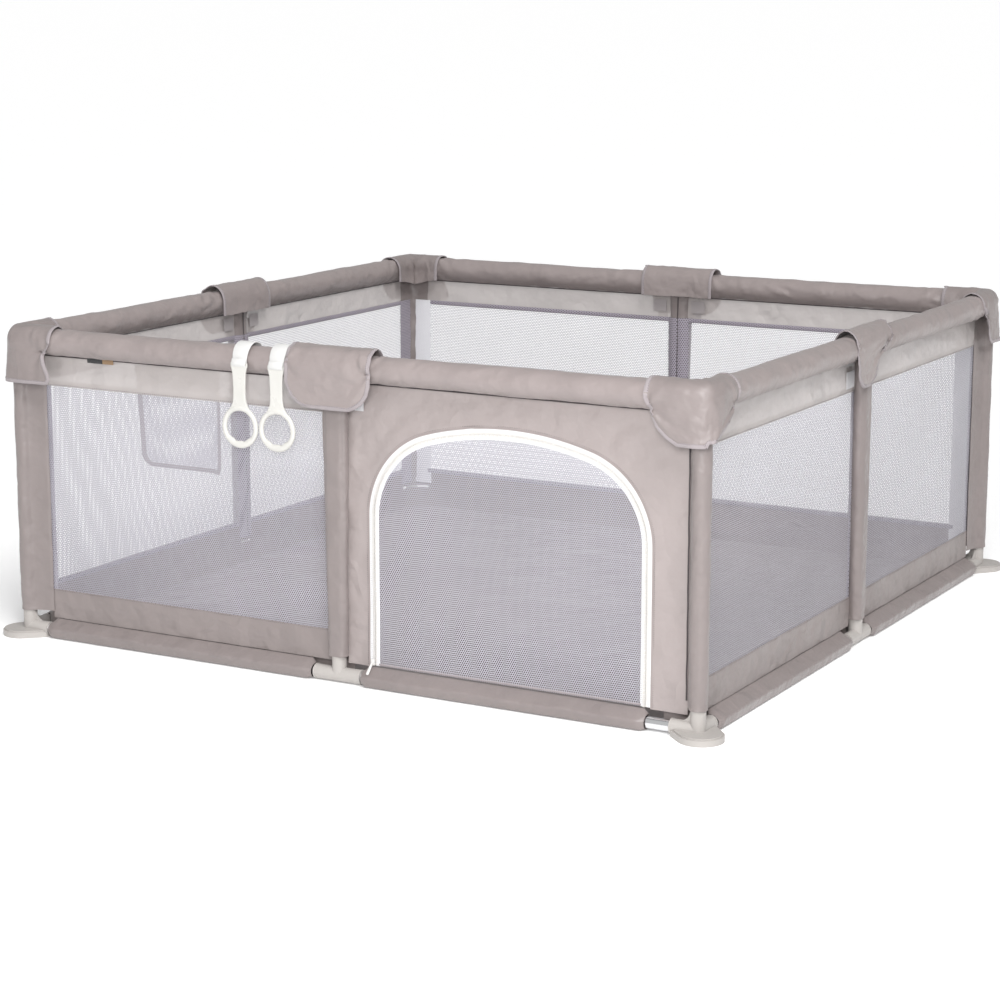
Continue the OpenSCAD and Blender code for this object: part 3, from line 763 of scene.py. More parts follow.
def wall_skin(s, x_values, z_values, y=None):
    """A patch of wall between the given lines. y may add to the wall's own place."""
    rows = []
    for z in z_values:
        rows.append([on_side(s, x, wall_y(s, x, z) + (y(x, z) if y else 0), z) for x in x_values])
    back = Matrix.Rotation(-s * math.pi / 2, 3, "Z")
    return surface(rows, uv=lambda p: ((back @ p).x, p.z))


def outward_of(s):
    return on_side(s, 0, -1, 0) - on_side(s, 0, 0, 0)


FOLD_H = 10 * MM
TUCK = 5 * MM
TUCK_MID = 15 * MM


def make_walls():
    for s, direction in bays():
        name = bay_name(s, direction)
        inner, outer = bay_in - TUCK_MID, bay_end(s, direction) + TUCK
        xs = [direction * x for x in np.linspace(inner, outer, 84)]
        width = outer - inner
        net = cloth(f"net_{name}", wall_skin(s, xs, np.linspace(net_z, band_z, 48)),
                    (width, band_z - net_z), "stretched", ["top_bands", "bottom_skirts"],
                    NET, "net", outward=outward_of(s))
        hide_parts("net_" + SIDES[s])
        band = cloth(f"band_{name}",
                     wall_skin(s, xs, np.linspace(band_z - 1 * MM, seam_z + 4 * MM, 9),
                               lambda x, z: -1.0 * MM + 0.9 * MM * ripple(x, z, s, 0.03, 8)),
                     (width, seam_z - band_z + 5 * MM), "stretched", ["rail_covers"],
                     BAND_CLOTH, "wall_cloth")
        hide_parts("top_bands")
        hem = skirt_z + 1 * MM
        skirt = cloth(f"skirt_{name}",
                      wall_skin(s, xs, np.linspace(hem, net_z + 1 * MM, 9),
                                lambda x, z: -1.0 * MM + 1.1 * MM * ripple(x, z, s, 0.04, 9)),
                      (width, net_z + 1 * MM - hem), "stretched", ["bottom_rail_sleeves"],
                      SKIRT_CLOTH, "wall_cloth", thickness=1.0 * MM)
        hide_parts("bottom_skirts")
        make_net_folds(s, direction, name)


def make_net_folds(s, direction, name):
    """The net's folded edges, on the inner face: along the band and the skirt, over half of the
    middle post's sleeve, and beside the corner. A row of stitches holds the outer face."""
    inner, outer = bay_in - TUCK_MID, bay_end(s, direction) + TUCK
    inwards = -outward_of(s)
    strips, seams = [], []
    for z, up in ((band_z - 1 * MM, 1), (net_z + 1 * MM, -1)):
        xs = np.linspace(inner, outer, 60)
        path = [on_side(s, direction * x, wall_y(s, direction * x, z) + 1.6 * MM, z) for x in xs]
        strips.append(tape(path, UP * up, inwards, FOLD_H, 1.6 * MM))
        line = [p - inwards * 3.2 * MM + Vector((0, 0, up * 2.4 * MM)) for p in path]
        seams.append(stitches(line, -inwards, lift=0.2 * MM, pitch=4.6 * MM))
    post_face = high("mid_sleeves").y - half_d
    zs = np.linspace(skirt_z + 24 * MM, band_z + FOLD_H - 1 * MM, 260)
    rows = []
    for z in zs:
        wide = lerp(0.74, 0.98, (z - skirt_z) / (seam_z - skirt_z))
        scallop = 1.4 * MM * math.sin(z / (0.95 * MM))
        waver = 0.9 * MM * ripple(direction, 0, z, 0.05, 12 + s)
        rows.append([on_side(s, direction * (x * wide * MM + waver + (scallop if x > 27 else 0)),
                             post_face + y * MM, z)
                     for x, y in ((1.0, -4.0), (1.6, 0.0), (8, 1.0), (15, 0.0), (21, -2.8), (25, -5.6),
                                  (28.0, -7.8))])
    fold = surface(rows)
    inward = (on_side(s, -direction, 0, 0) - on_side(s, 0, 0, 0)).normalized()
    start, end = outer - TUCK - 5 * MM, half_length(s) - wall_in - 3 * MM
    path = [on_side(s, direction * (start + 1.0 * MM * math.sin(z / (0.95 * MM))), wall_in + 3.2 * MM,
                    z)
            for z in zs]
    corner_fold = tape(path, -inward, inwards, end - start, 1.4 * MM)
    piece(f"corner_fold_{name}", corner_fold, NET_PALE if s == 2 else NET_EDGE, "net")
    piece(f"net_fold_{name}", merge(*strips), NET_EDGE, "net")
    piece(f"post_fold_{name}", fold, NET_EDGE, "net", thickness=0.8 * MM, offset=0)
    piece(f"wall_stitches_{name}", merge(*seams), THREAD, "wall_cloth")


# ---- post sleeves -----------------------------------------------------------------------------

def sleeve_rows(place, outline, seed):
    """Loops up a post's sleeve. outline(a, z) gives x and y at angle a; place puts them in the pen."""
    rows = []
    zs = [sleeve_z, sleeve_z + 2 * MM] + list(np.linspace(sleeve_z + 12 * MM, seam_z - 1 * MM, 38))
    around = 56
    for z in zs:
        ring = []
        for j in range(around):
            a = 2 * math.pi * j / around
            x, y = outline(a, z)
            n = math.hypot(x, y)
            wrinkle = (1.1 * ripple(x * 2, y * 2, z, 0.055, seed)
                       + 0.7 * ripple(x * 3, y * 3, z * 1.5, 0.024, seed + 1))
            hem = 0.8 * math.exp(-(((z - sleeve_z - 12 * MM) / (1.6 * MM)) ** 2))
            grow = 1 + MM * (wrinkle - hem) / n
            ring.append(place(x * grow, y * grow, z))
        rows.append(ring)
    return rows


def power(value, exponent):
    return math.copysign(abs(value) ** exponent, value)


def make_mid_sleeves():
    for s in range(4):
        def outline(a, z):
            narrow = lerp(19.5, 27.8, (z - sleeve_z) / (seam_z - sleeve_z)) * MM
            x = narrow * power(math.cos(a), 0.62)
            y = 15.6 * MM * power(math.sin(a), 0.72)
            if y > 0:
                x *= 1 - 0.22 * math.sin(a) ** 0.6
            else:
                y += 1.4 * MM * math.exp(-(((abs(x) - 19 * MM) / (2.6 * MM)) ** 2))
            return x, y
        rows = sleeve_rows(lambda x, y, z, s=s: on_side(s, x, y, z), outline, 20 + s)
        skin = surface(rows, closed=True)
        sleeve = cloth(f"mid_sleeve_{SIDES[s]}", skin, (row_length(rows[9]), seam_z - sleeve_z),
                       "stretched", ["mid_post_" + SIDES[s]], SLEEVE_CLOTH, "cover_cloth",
                       thickness=1.0 * MM, offset=-1)
        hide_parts("mid_sleeves")


def make_corner_sleeves():
    for c in range(4):
        flanges = (half_length(c) - bay_end(c, -1), half_length(c - 1) - bay_end((c - 1) % 4, 1))
        def outline(a, z):
            """A round tube whose two flanges run along the walls."""
            r = corner_r - 0.8 * MM
            x, y = -r * math.cos(a), -r * math.sin(a)
            for first, flange in zip((True, False), flanges):
                along, across = (x, y) if first else (y, x)
                pull = math.exp(-(((across - 5 * MM) / (5.5 * MM)) ** 2)) * smooth(along / r)
                reach = max(0.0, flange - r - 1 * MM) * pull
                level = 0.6 * pull * smooth(reach / (20 * MM))
                if first:
                    x, y = x + reach, lerp(y, wall_in, level)
                else:
                    x, y = lerp(x, wall_in, level), y + reach
            return x, y
        rows = sleeve_rows(lambda x, y, z, c=c: at_corner(c, x, y, z), outline, 30 + c)
        skin = surface(rows, closed=True)
        sleeve = cloth(f"corner_sleeve_{CORNERS[c]}", skin, (row_length(rows[9]), seam_z - sleeve_z),
                       "stretched", ["corner_post_" + CORNERS[c]], SLEEVE_CLOTH, "cover_cloth",
                       thickness=1.0 * MM, offset=-1)
        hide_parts("corner_sleeves")


def rounded_loop(corners, radius):
    """A polygon's outline with its corners rounded, as (x, y) pairs."""
    loop = []
    steps = 5
    count = len(corners)
    for i, corner in enumerate(corners):
        here = Vector(corner)
        before = (Vector(corners[i - 1]) - here)
        after = (Vector(corners[(i + 1) % count]) - here)
        r = min(radius, before.length * 0.45, after.length * 0.45)
        a, b = here + before.normalized() * r, here + after.normalized() * r
        for k in range(steps + 1):
            t = k / steps
            loop.append(a.lerp(here, t).lerp(here.lerp(b, t), t))
        far = Vector(corners[(i + 1) % count])
        loop.append(b.lerp(far - after.normalized() * r, 0.5))
    return loop


DOOR_HEM_END = 100 * MM


def make_bottom_sleeves():
    sleeve_low = low("bottom_rail_sleeves")
    ridge_out = -sleeve_low.y - half_d
    under = sleeve_low.z + 0.3 * MM
    start = mouth + 4 * MM
    for s, direction in bays(with_door=True):
        end = half_length(s) - (DOOR_HEM_END if (s, direction) == (0, 1) else start)
        rows = []
        middle = list(np.linspace(start + 9 * MM, end - 9 * MM, 60))
        for x in [start, start + 1.5 * MM] + middle + [end - 1.5 * MM, end]:
            from_end = min(x - start, end - x)
            sag = 1.5 * MM * ripple(x, s, direction, 0.09, 40)
            crease = 1.0 * MM * ripple(x, s, direction, 0.03, 41)
            tuck = 1.2 * MM * math.exp(-(((from_end - 9 * MM) / (1.5 * MM)) ** 2))
            loop = rounded_loop([
                (wall_in - 1.5 * MM, skirt_z + 0.5 * MM),
                (-ridge_out + 1 * MM + crease, bottom_z + 6.5 * MM + sag - tuck),
                (-tube_r - 5 * MM + 0.6 * crease, under),
                (tube_r + 2.8 * MM, under),
                (wall_in + 3.5 * MM, skirt_z - 1 * MM),
            ], 5 * MM)
            gather = 0.8 * smooth(1 - from_end / (9 * MM))
            ring = []
            for p in loop:
                off = Vector((p.x, p.y - bottom_z))
                near = off.normalized() * (tube_r + 2.2 * MM)
                ring.append(on_side(s, direction * x, lerp(off.x, near.x, gather),
                                    bottom_z + lerp(off.y, near.y, gather)))
            rows.append(ring)
        skin = surface(rows, closed=True)
        sleeve = cloth(f"bottom_sleeve_{bay_name(s, direction)}", skin,
                       (row_length(rows[9] + rows[9][:1]), end - start), "stretched",
                       ["bottom_rail_" + SIDES[s]], SLEEVE_CLOTH, "cover_cloth", thickness=0.8 * MM,
                       offset=-1)
        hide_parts("bottom_rail_sleeves")


# ---- corner caps and saddles ------------------------------------------------------------------

FLAP_INNER = 27 * MM
OBLIQUE = ((0.000, 0.100), (0.014, 0.093), (0.030, 0.087), (0.052, 0.076), (0.070, 0.058),
           (0.082, 0.036))
SQUARE = ((0.000, 0.098), (0.012, 0.090), (0.024, 0.078), (0.040, 0.082), (0.060, 0.092),
          (0.074, 0.095), (0.082, 0.086))
SHORT = ((0.000, 0.092), (0.010, 0.080), (0.030, 0.066), (0.046, 0.044), (0.062, 0.016),
         (0.074, -0.012))
TONGUE = ((0.000, 0.100), (0.012, 0.082), (0.040, 0.072), (0.060, 0.068), (0.074, 0.060),
          (0.082, 0.046))
CAP_FLAPS = {
    "front_left": (SQUARE, SQUARE),
    "front_right": (SHORT, OBLIQUE),
    "back_right": (TONGUE, TONGUE),
    "back_left": (OBLIQUE, SQUARE),
}


def over_rail(share, wide, tall, outer, inner, inner_wide):
    """A place on cloth folded over a rail, from the outer flap's edge (0) to the inner flap's (1):
    distance inwards and height over the rail's axis."""
    arc = math.pi * (wide + tall) / 2
    at = share * (outer + arc + inner)
    if at < outer:
        return -wide, at - outer
    if at < outer + arc:
        turn = math.pi * (at - outer) / arc
        return -(wide if turn < math.pi / 2 else inner_wide) * math.cos(turn), tall * math.sin(turn)
    return inner_wide, -(at - outer - arc)


def creases(x, z, at_x, at_z, count, reach, phase):
    """Folds that spread from a sewn or pinched point, from -1 to 1."""
    dx, dz = x - at_x, z - at_z
    away = math.hypot(dx, dz)
    return (math.cos(count * math.atan2(dz, dx) + phase) * math.exp(-away / reach)
            * smooth(away / (6 * MM)))


def shares(outer, arc, inner, fine):
    """Even steps over the three stretches of folded cloth."""
    total = outer + arc + inner
    stops = []
    for start, length in ((0, outer), (outer, arc), (outer + arc, inner)):
        steps = max(2, int(length / fine))
        stops += [(start + length * k / steps) / total for k in range(steps)]
    return stops + [1.0]


CAP_WIDE = 28.4 * MM
CAP_TALL = 31.5 * MM
CAP_TIGHT = 23 * MM
CAP_CUT = 270 * MM


def cap_point(c, share, q):
    """A place on a corner cap: q runs from the edge of the flap on the +y rail (-1), over the
    corner (0), to the edge of the flap on the +x rail (1)."""
    flap = CAP_FLAPS[CORNERS[c]][0 if q >= 0 else 1]
    drops, reaches = zip(*flap)
    outer = drops[-1]
    wide = lerp(CAP_TIGHT, CAP_WIDE, smooth(abs(q) / 0.55))
    y, z = over_rail(share, wide, CAP_TALL, outer, FLAP_INNER, CAP_WIDE)
    if y < 0:
        y -= 5 * MM * smooth(-z / outer) * (1 - abs(q))
    reach = np.interp(-z, drops, reaches) if y < 0 else reaches[0] - 4 * MM
    x = lerp(y, reach, abs(q))
    flat_x, outside = x, y < 0
    bend = max(0.0, -y) * 0.85
    if bend > 0 and x < y + bend:
        turn = (bend - (x - y)) / bend * math.pi / 4
        centre = y + bend
        x, y = centre - bend * math.sin(turn), centre - bend * math.cos(turn)
    edge = abs(q) ** 6
    side = c * 2 + (q > 0)
    puff = (1.6 * ripple(flat_x * 1.2, side, z, 0.05, 50 + c)
            + 0.9 * ripple(flat_x * 2, side, z, 0.02, 51 + c))
    away = smooth(abs(q) / 0.15)
    if outside:
        pinch = 4.5 * math.exp(-(((flat_x - reach) / (24 * MM)) ** 2) - ((z + 19 * MM) / (6 * MM)) ** 2)
        folds = 4.6 * creases(flat_x, z, reach, -19 * MM, 7, 28 * MM, side)
        folds += 2.6 * creases(flat_x, z, -CAP_WIDE, 8 * MM, 6, 30 * MM, side + 2) * away
        y -= MM * (puff * (1 - 0.5 * edge) - pinch + folds * away) + 1.5 * MM * smooth(-z / outer)
    else:
        hang = smooth(-z / (20 * MM))
        folds = 6.5 * creases(flat_x, z, 14 * MM, -26 * MM, 6, 65 * MM, side) * away
        z += (MM * (puff * (1 - edge) + 0.45 * folds * smooth(z / (14 * MM)))
              - 13 * MM * hang * (1 - abs(q)) ** 1.5)
        y += MM * folds * (1 - smooth(z / (25 * MM))) * (1 - edge) + 2.5 * MM * hang * (1 - abs(q))
    if q < 0:
        x, y = y, x
    return at_corner(c, x, y, rail_z + z)


def edge_frames(points, inner_points, facing):
    """For a flap's edge: unit steps into the cloth and the cloth's outward normals."""
    inward, normal = [], []
    for p, q, t in zip(points, inner_points, frames_along(points)):
        a = (q - p)
        a = (a - t * a.dot(t)).normalized()
        n = t.cross(a).normalized()
        if n.dot(facing(p)) < 0:
            n = -n
        inward.append(a)
        normal.append(n)
    return inward, normal


def edge_trim(points, inner_points, facing):
    """Binding tape folded over a flap's edge, with its row of stitches."""
    width, thickness = 8.0 * MM, 2.6 * MM
    inward, normal = edge_frames(points, inner_points, facing)
    path = [p - a * 0.8 * MM for p, a in zip(points, inward)]
    seam = [p + a * (width - 0.9 * MM) for p, a in zip(path, inward)]
    return tape(path, inward, normal, width, thickness), stitches(seam, normal, lift=thickness / 2)


def grid_edge(rows):
    """The edge of a grid of points, without its last row: down one side, along the first row and
    up the other side, with the points just inside it."""
    count = len(rows[0])
    edge = [rows[i][0] for i in range(len(rows) - 1, 0, -1)] + rows[0][:-1] + [r[-1] for r in rows]
    inner = [rows[i][1] for i in range(len(rows) - 1, 0, -1)] + rows[1][:-1] + [r[-2] for r in rows]
    inner[len(rows) - 1] = rows[1][1]
    inner[len(rows) - 1 + count - 1] = rows[1][-2]
    return edge, inner


def make_corner_caps():
    binding, seams = [], []
    for c in range(4):
        outer = CAP_FLAPS[CORNERS[c]][0][-1][0]
        arc = math.pi * (CAP_WIDE + CAP_TALL) / 2
        steps = shares(outer, arc, FLAP_INNER, 4.2 * MM)
        across = [power(t, 0.9) for t in np.linspace(-1, 1, 53)]
        rows = [[cap_point(c, share, q) for q in across] for share in steps]
        skin = surface(rows)
        length = outer + arc + FLAP_INNER
        cap = cloth(f"corner_cap_{CORNERS[c]}", skin, (CAP_CUT, length), "folded",
                    ["rail_covers"], CAP_CLOTH_SHADED, "cover_cloth", thickness=1.3 * MM, offset=0)
        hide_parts("corner_caps")
        centre = at_corner(c, 0, 0, rail_z - 20 * MM)
        edge, inner = grid_edge(rows)
        trim, thread = edge_trim(edge, inner, lambda p, centre=centre: p - centre)
        binding.append(trim)
        seams.append(thread)
    piece("cap_bindings", merge(*binding), BINDING, "cover_cloth")
    piece("cap_stitches", merge(*seams), THREAD, "cover_cloth")


SADDLE_WIDE = 35 * MM
SADDLE_WIDE_IN = 29 * MM
SADDLE_TALL = 38.5 * MM
SADDLE_OUTER = 76 * MM
SADDLE_INNER = 27 * MM
SADDLE_CUT = 200 * MM


def saddle_span(s, z, outer_side):
    """The two ends of a saddle at height z over the rail's axis. The right one is a leaning tongue."""
    half = 93 * MM
    if not outer_side:
        return -half + 3 * MM, half - 3 * MM
    if s == 1:
        heights = np.array((-76, -70, -60, -50, -25, -5, 10, 40)) * MM
        near = np.interp(z, heights, np.array((-62, -76, -86, -90, -95, -97, -97, -96)) * MM)
        far = np.interp(z, heights, np.array((-28, -12, 2, 8, 24, 56, 84, 97)) * MM)
        return near, far
    corner = 54 * MM
    below = corner - SADDLE_OUTER - z
    if below > 0:
        half += math.sqrt(max(0.0, corner ** 2 - min(below, corner * 0.985) ** 2)) - corner
    return -half + 2 * MM, half


def saddle_point(s, share, t):
    wide = 29 * MM if s == 1 else SADDLE_WIDE
    y, z = over_rail(share, wide, SADDLE_TALL, SADDLE_OUTER, SADDLE_INNER, SADDLE_WIDE_IN)
    outer_side = y < 0
    near, far = saddle_span(s, z, outer_side)
    x = lerp(near, far, (t + 1) / 2)
    edge = abs(t) ** 5
    puff = (1.9 * ripple(x * 0.8, share, z, 0.06, 60 + s)
            + 1.0 * ripple(x * 1.5, share, z, 0.022, 61 + s))
    pinch = 4.2 * math.exp(-(((x - far) / (24 * MM)) ** 2) - ((z + 8 * MM) / (6 * MM)) ** 2)
    folds = (3.8 * creases(x, z, far, -8 * MM, 6, 34 * MM, s)
             + 2.8 * creases(x, z, near, 10 * MM, 5, 28 * MM, s + 2))
    if outer_side:
        y -= MM * (puff - pinch + folds)
        z += MM * 0.8 * puff * smooth(z / (10 * MM))
    else:
        z += MM * puff * (1 - edge)
        y += MM * 1.6 * creases(x, z, 0.4 * near, 0, 5, 50 * MM, s) * (z < 0)
    y -= math.copysign(1.2 * MM, y) * edge
    return on_side(s, x, y, rail_z + z)


def make_saddles():
    binding, seams = [], []
    for s in range(4):
        arc = math.pi * (SADDLE_WIDE + SADDLE_TALL) / 2
        steps = shares(SADDLE_OUTER, arc, SADDLE_INNER, 4.0 * MM)
        rows = [[saddle_point(s, share, t) for t in np.linspace(-1, 1, 41)] for share in steps]
        skin = surface(rows)
        saddle = cloth(f"saddle_{SIDES[s]}", skin, (SADDLE_CUT, SADDLE_OUTER + arc + SADDLE_INNER),
                       "folded",
                       ["rail_covers"], COVER_CLOTH, "cover_cloth", thickness=1.5 * MM, offset=0)
        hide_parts("saddles")
        centre = on_side(s, 0, 0, rail_z - 20 * MM)
        axis = on_side(s, 1, 0, 0) - on_side(s, 0, 0, 0)
        edge, inner = grid_edge(rows)

        def facing(p, centre=centre, axis=axis):
            return (p - centre) - axis * (p - centre).dot(axis)

        trim, thread = edge_trim(edge, inner, facing)
        binding.append(trim)
        seams.append(thread)
    piece("saddle_bindings", merge(*binding), BINDING, "cover_cloth")
    piece("saddle_stitches", merge(*seams), THREAD, "cover_cloth")


# ---- door -------------------------------------------------------------------------------------

door_left = low("zip_tape").x
door_right = high("zip_tape").x
door_top = high("zip_tape").z
door_mid = (door_left + door_right) / 2
door_half = (door_right - door_left) / 2
SHOULDER = 170 * MM
CROWN = 600 * MM
spread = door_half - SHOULDER
crown_z = door_top - CROWN
shoulder_z = crown_z + math.sqrt((CROWN - SHOULDER) ** 2 - spread ** 2)
lean = math.asin(spread / (CROWN - SHOULDER))


def arch(inset, fine=8 * MM):
    """The door's outline, inset by a distance: places (x, z) and outward directions, from the left
    hem up, over the crown and down to the right hem. Every inset has the same number of places."""
    def arc(centre_x, centre_z, radius, start, end):
        steps = max(2, int(radius * abs(start - end) / fine))
        for k in range(steps):
            a = lerp(start, end, k / steps)
            places.append((centre_x + (radius - inset) * math.cos(a),
                           centre_z + (radius - inset) * math.sin(a)))
            outward.append((math.cos(a), math.sin(a)))

    places, outward = [], []
    legs = int((shoulder_z - hinge_z) / fine)
    for k in range(legs):
        places.append((door_mid - door_half + inset, lerp(hinge_z, shoulder_z, k / legs)))
        outward.append((-1.0, 0.0))
    arc(door_mid - spread, shoulder_z, SHOULDER, math.pi, math.pi / 2 + lean)
    arc(door_mid, crown_z, CROWN, math.pi / 2 + lean, math.pi / 2 - lean)
    arc(door_mid + spread, shoulder_z, SHOULDER, math.pi / 2 - lean, 0.0)
    for k in range(legs + 1):
        places.append((door_mid + door_half - inset, lerp(shoulder_z, hinge_z, k / legs)))
        outward.append((1.0, 0.0))
    return places, outward


def panel_y(x, z):
    """Slack of the door's side panel: none at its edges and the zip."""
    soft = 4.4 * ripple(x, 0, z, 0.16, 70) + 2.6 * ripple(x - 0.7 * z, 0, z * 0.3, 0.045, 71)
    soft += (1.8 * math.sin(x / (9 * MM) + 4 * ripple(x, 0, 0, 0.07, 75))
             * math.exp((z - seam_z) / (22 * MM)))
    soft += (3.2 * math.exp(-(((x - 0.30 + 0.9 * (z - 0.50)) / (13 * MM)) ** 2))
             * smooth((z - 0.44) / 0.05))
    soft += (3.0 * math.exp(-(((x - 0.55 - 1.1 * (z - 0.50)) / (12 * MM)) ** 2))
             * smooth((z - 0.42) / 0.05))
    return wall_in + 2.0 * MM * (seam_z - z) / (seam_z - skirt_z) + MM * soft


def door_y(x, z):
    """Place of the zip and the door's edge, which is straight along the door's hinge."""
    off_hinge = smooth((z - hinge_z) / 0.12)
    return wall_in + off_hinge * (2.0 * MM * (seam_z - z) / (seam_z - skirt_z)
                                  + 1.0 * MM * ripple(x, 0, z, 0.2, 72))


def make_door_surround():
    """The cloth round the door: lines run from the zip to the panel's outer edge."""
    left, right = bay_in - TUCK_MID, high("door_surround").x
    places, _ = arch(0.0)
    columns = []
    for x, z in places:
        if z <= shoulder_z + 1e-6:
            z = z if z > hinge_z + 1e-6 else skirt_z
            far = (left if x < door_mid else right, z)
        else:
            dx, dz = x - door_mid, z - shoulder_z
            reach = min(((left if dx < 0 else right) - door_mid) / dx if abs(dx) > 1e-9 else 1e9,
                        (seam_z - shoulder_z) / dz)
            far = (door_mid + dx * reach, shoulder_z + dz * reach)
        columns.append(((x, z), far))
    for corner_x in (left, right):
        nearest = min(range(len(columns)),
                      key=lambda i: math.hypot(columns[i][1][0] - corner_x, columns[i][1][1] - seam_z))
        columns[nearest] = (columns[nearest][0], (corner_x, seam_z))
    rows = []
    for k in range(17):
        t = k / 16
        row = []
        for (x0, z0), (x1, z1) in columns:
            x, z = lerp(x0, x1, t), lerp(z0, z1, t)
            loose = math.sin(math.pi * t)
            row.append(on_side(0, x, lerp(door_y(x, z), panel_y(x, z), loose), z))
        rows.append(row)
    skin = surface(rows, uv=lambda p: (p.x, p.z))
    surround = cloth("door_surround_cloth", skin, (right - left, seam_z - skirt_z), "stretched",
                     ["mid_sleeves", "corner_sleeves", "rail_covers"], WALL_CLOTH, "wall_cloth",
                     thickness=1.4 * MM)
    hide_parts("door_surround")


def zip_path(inset):
    """Places on the wall along the door's outline, and its outward directions."""
    places, outward = arch(inset, fine=6 * MM)
    return [on_side(0, x, door_y(x, z), z) for x, z in places], outward


def zip_strip(start, end, thickness):
    """A strip of zip tape between two insets of the arch."""
    path, outward = zip_path(start)
    return tape(path, [Vector((-nx, 0, -nz)) for nx, nz in outward], FRONT, end - start, thickness)


def zip_seam(inset):
    """A row of stitches along the arch."""
    return stitches(zip_path(inset)[0], FRONT, lift=0.8 * MM, pitch=3.6 * MM, length=2.6 * MM)


def tooth_mesh():
    """One coil tooth, lying along x: a bevelled block, modelled once."""
    bpy.ops.mesh.primitive_cube_add(size=1, location=(0, 0, 0))
    tooth = bpy.context.object
    bpy.ops.object.mode_set(mode="EDIT")
    bpy.ops.transform.resize(value=(4.6 * MM, 1.2 * MM, 1.9 * MM))
    bpy.ops.mesh.bevel(offset=0.42 * MM, segments=1)
    bpy.ops.object.mode_set(mode="OBJECT")
    points = [v.co.copy() for v in tooth.data.vertices]
    faces = [tuple(p.vertices) for p in tooth.data.polygons]
    bpy.data.objects.remove(tooth)
    return points, faces


def coil(inset, phase):
    """Teeth set along the arch, each across the path."""
    tooth_points, tooth_faces = tooth_mesh()
    places, outward = arch(inset, fine=4 * MM)
    path = [Vector((x, 0, z)) for x, z in places]
    pitch = 2.6 * MM
    points, faces, corners = [], [], []
    for i, t in resample(path, pitch):
        t = min(1.0, t + phase * pitch / max(1e-9, (path[i + 1] - path[i]).length))
        p = path[i].lerp(path[i + 1], t)
        nx = lerp(outward[i][0], outward[i + 1][0], t)
        nz = lerp(outward[i][1], outward[i + 1][1], t)
        across = Vector((nx, 0, nz)).normalized()
        along = Vector((-across.z, 0, across.x))
        base = on_side(0, p.x, door_y(p.x, p.z) - 1.5 * MM, p.z)
        shift = len(points)
        for q in tooth_points:
            points.append(base + across * q.x + along * q.y + FRONT * q.z)
        for face in tooth_faces:
            faces.append(tuple(f + shift for f in face))
            corners += [(tooth_points[f].x, tooth_points[f].y) for f in face]
    return points, faces, corners


TAPE_W = 9.5 * MM
COIL_GAP = 1.0 * MM


def make_zip():
    middle = TAPE_W + COIL_GAP / 2
    inner_start = TAPE_W + COIL_GAP
    inner_end = inner_start + TAPE_W
    fixed_tape = piece("zip_tape_outer", zip_strip(-2.0 * MM, TAPE_W, 1.3 * MM), ZIP_TAPE, "zip_tape")
    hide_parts("zip_tape")
    piece("zip_coil_outer", coil(middle - 2.0 * MM, 0.0), ZIP_COIL, "zip_tape")
    moving = zip_strip(inner_start, inner_end, 1.3 * MM)
    door_tape = piece("zip_tape_inner", moving, ZIP_TAPE, "zip_tape", body="door")
    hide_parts("door_tape")
    piece("zip_coil_inner", coil(middle + 2.4 * MM, 0.5), ZIP_COIL, "zip_tape", body="door")
    piece("zip_piping", zip_strip(-4.0 * MM, -1.6 * MM, 2.2 * MM), COVER_CLOTH, "wall_cloth")
    piece("zip_stitches", merge(zip_seam(-5.4 * MM), zip_seam(2.5 * MM)), THREAD, "zip_tape")
    piece("door_stitches", zip_seam(inner_end - 2.2 * MM), THREAD, "zip_tape", body="door")


def make_door_net():
    inset = 2 * TAPE_W + COIL_GAP - 2.0 * MM
    places, _ = arch(inset)
    half = door_half - inset
    count = 61
    columns = [door_mid - half * math.cos(math.pi * k / (count - 1)) for k in range(count)]
    top_x = [x for x, _ in places]
    top_z = [z for _, z in places]
    start = next(i for i, (_, z) in enumerate(places) if z > shoulder_z - 1e-6)
    stop = len(places) - next(i for i, (_, z) in enumerate(reversed(places)) if z > shoulder_z - 1e-6)
    rows = []
    for k in range(49):
        t = k / 48
        row = []
        for x in columns:
            top = np.interp(x, top_x[start:stop], top_z[start:stop])
            z = lerp(hinge_z, top, t)
            loose = (math.sin(math.pi * t)
                     * math.sin(math.pi * min(1, max(0, (x - door_mid + half) / (2 * half)))))
            sag = 3.0 * MM * ripple(x, 0, z, 0.2, 73) + 1.2 * MM * ripple(x, 0, z, 0.07, 74)
            row.append(on_side(0, x, door_y(x, z) + sag * loose, z))
        rows.append(row)
    skin = surface(rows, uv=lambda p: (p.x, p.z))
    net = cloth("door_net_panel", skin, (2 * half, door_top - inset - hinge_z), "stretched",
                ["zip_tape"], NET, "net", body="door", outward=FRONT)
    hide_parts("door_net")
    hem = [on_side(0, x, wall_in, hinge_z + 0.8 * MM)
           for x in np.linspace(door_mid - half, door_mid + half, 50)]
    piece("door_hem", tape(hem, UP, FRONT, 4 * MM, 1.4 * MM), BINDING, "net", body="door")


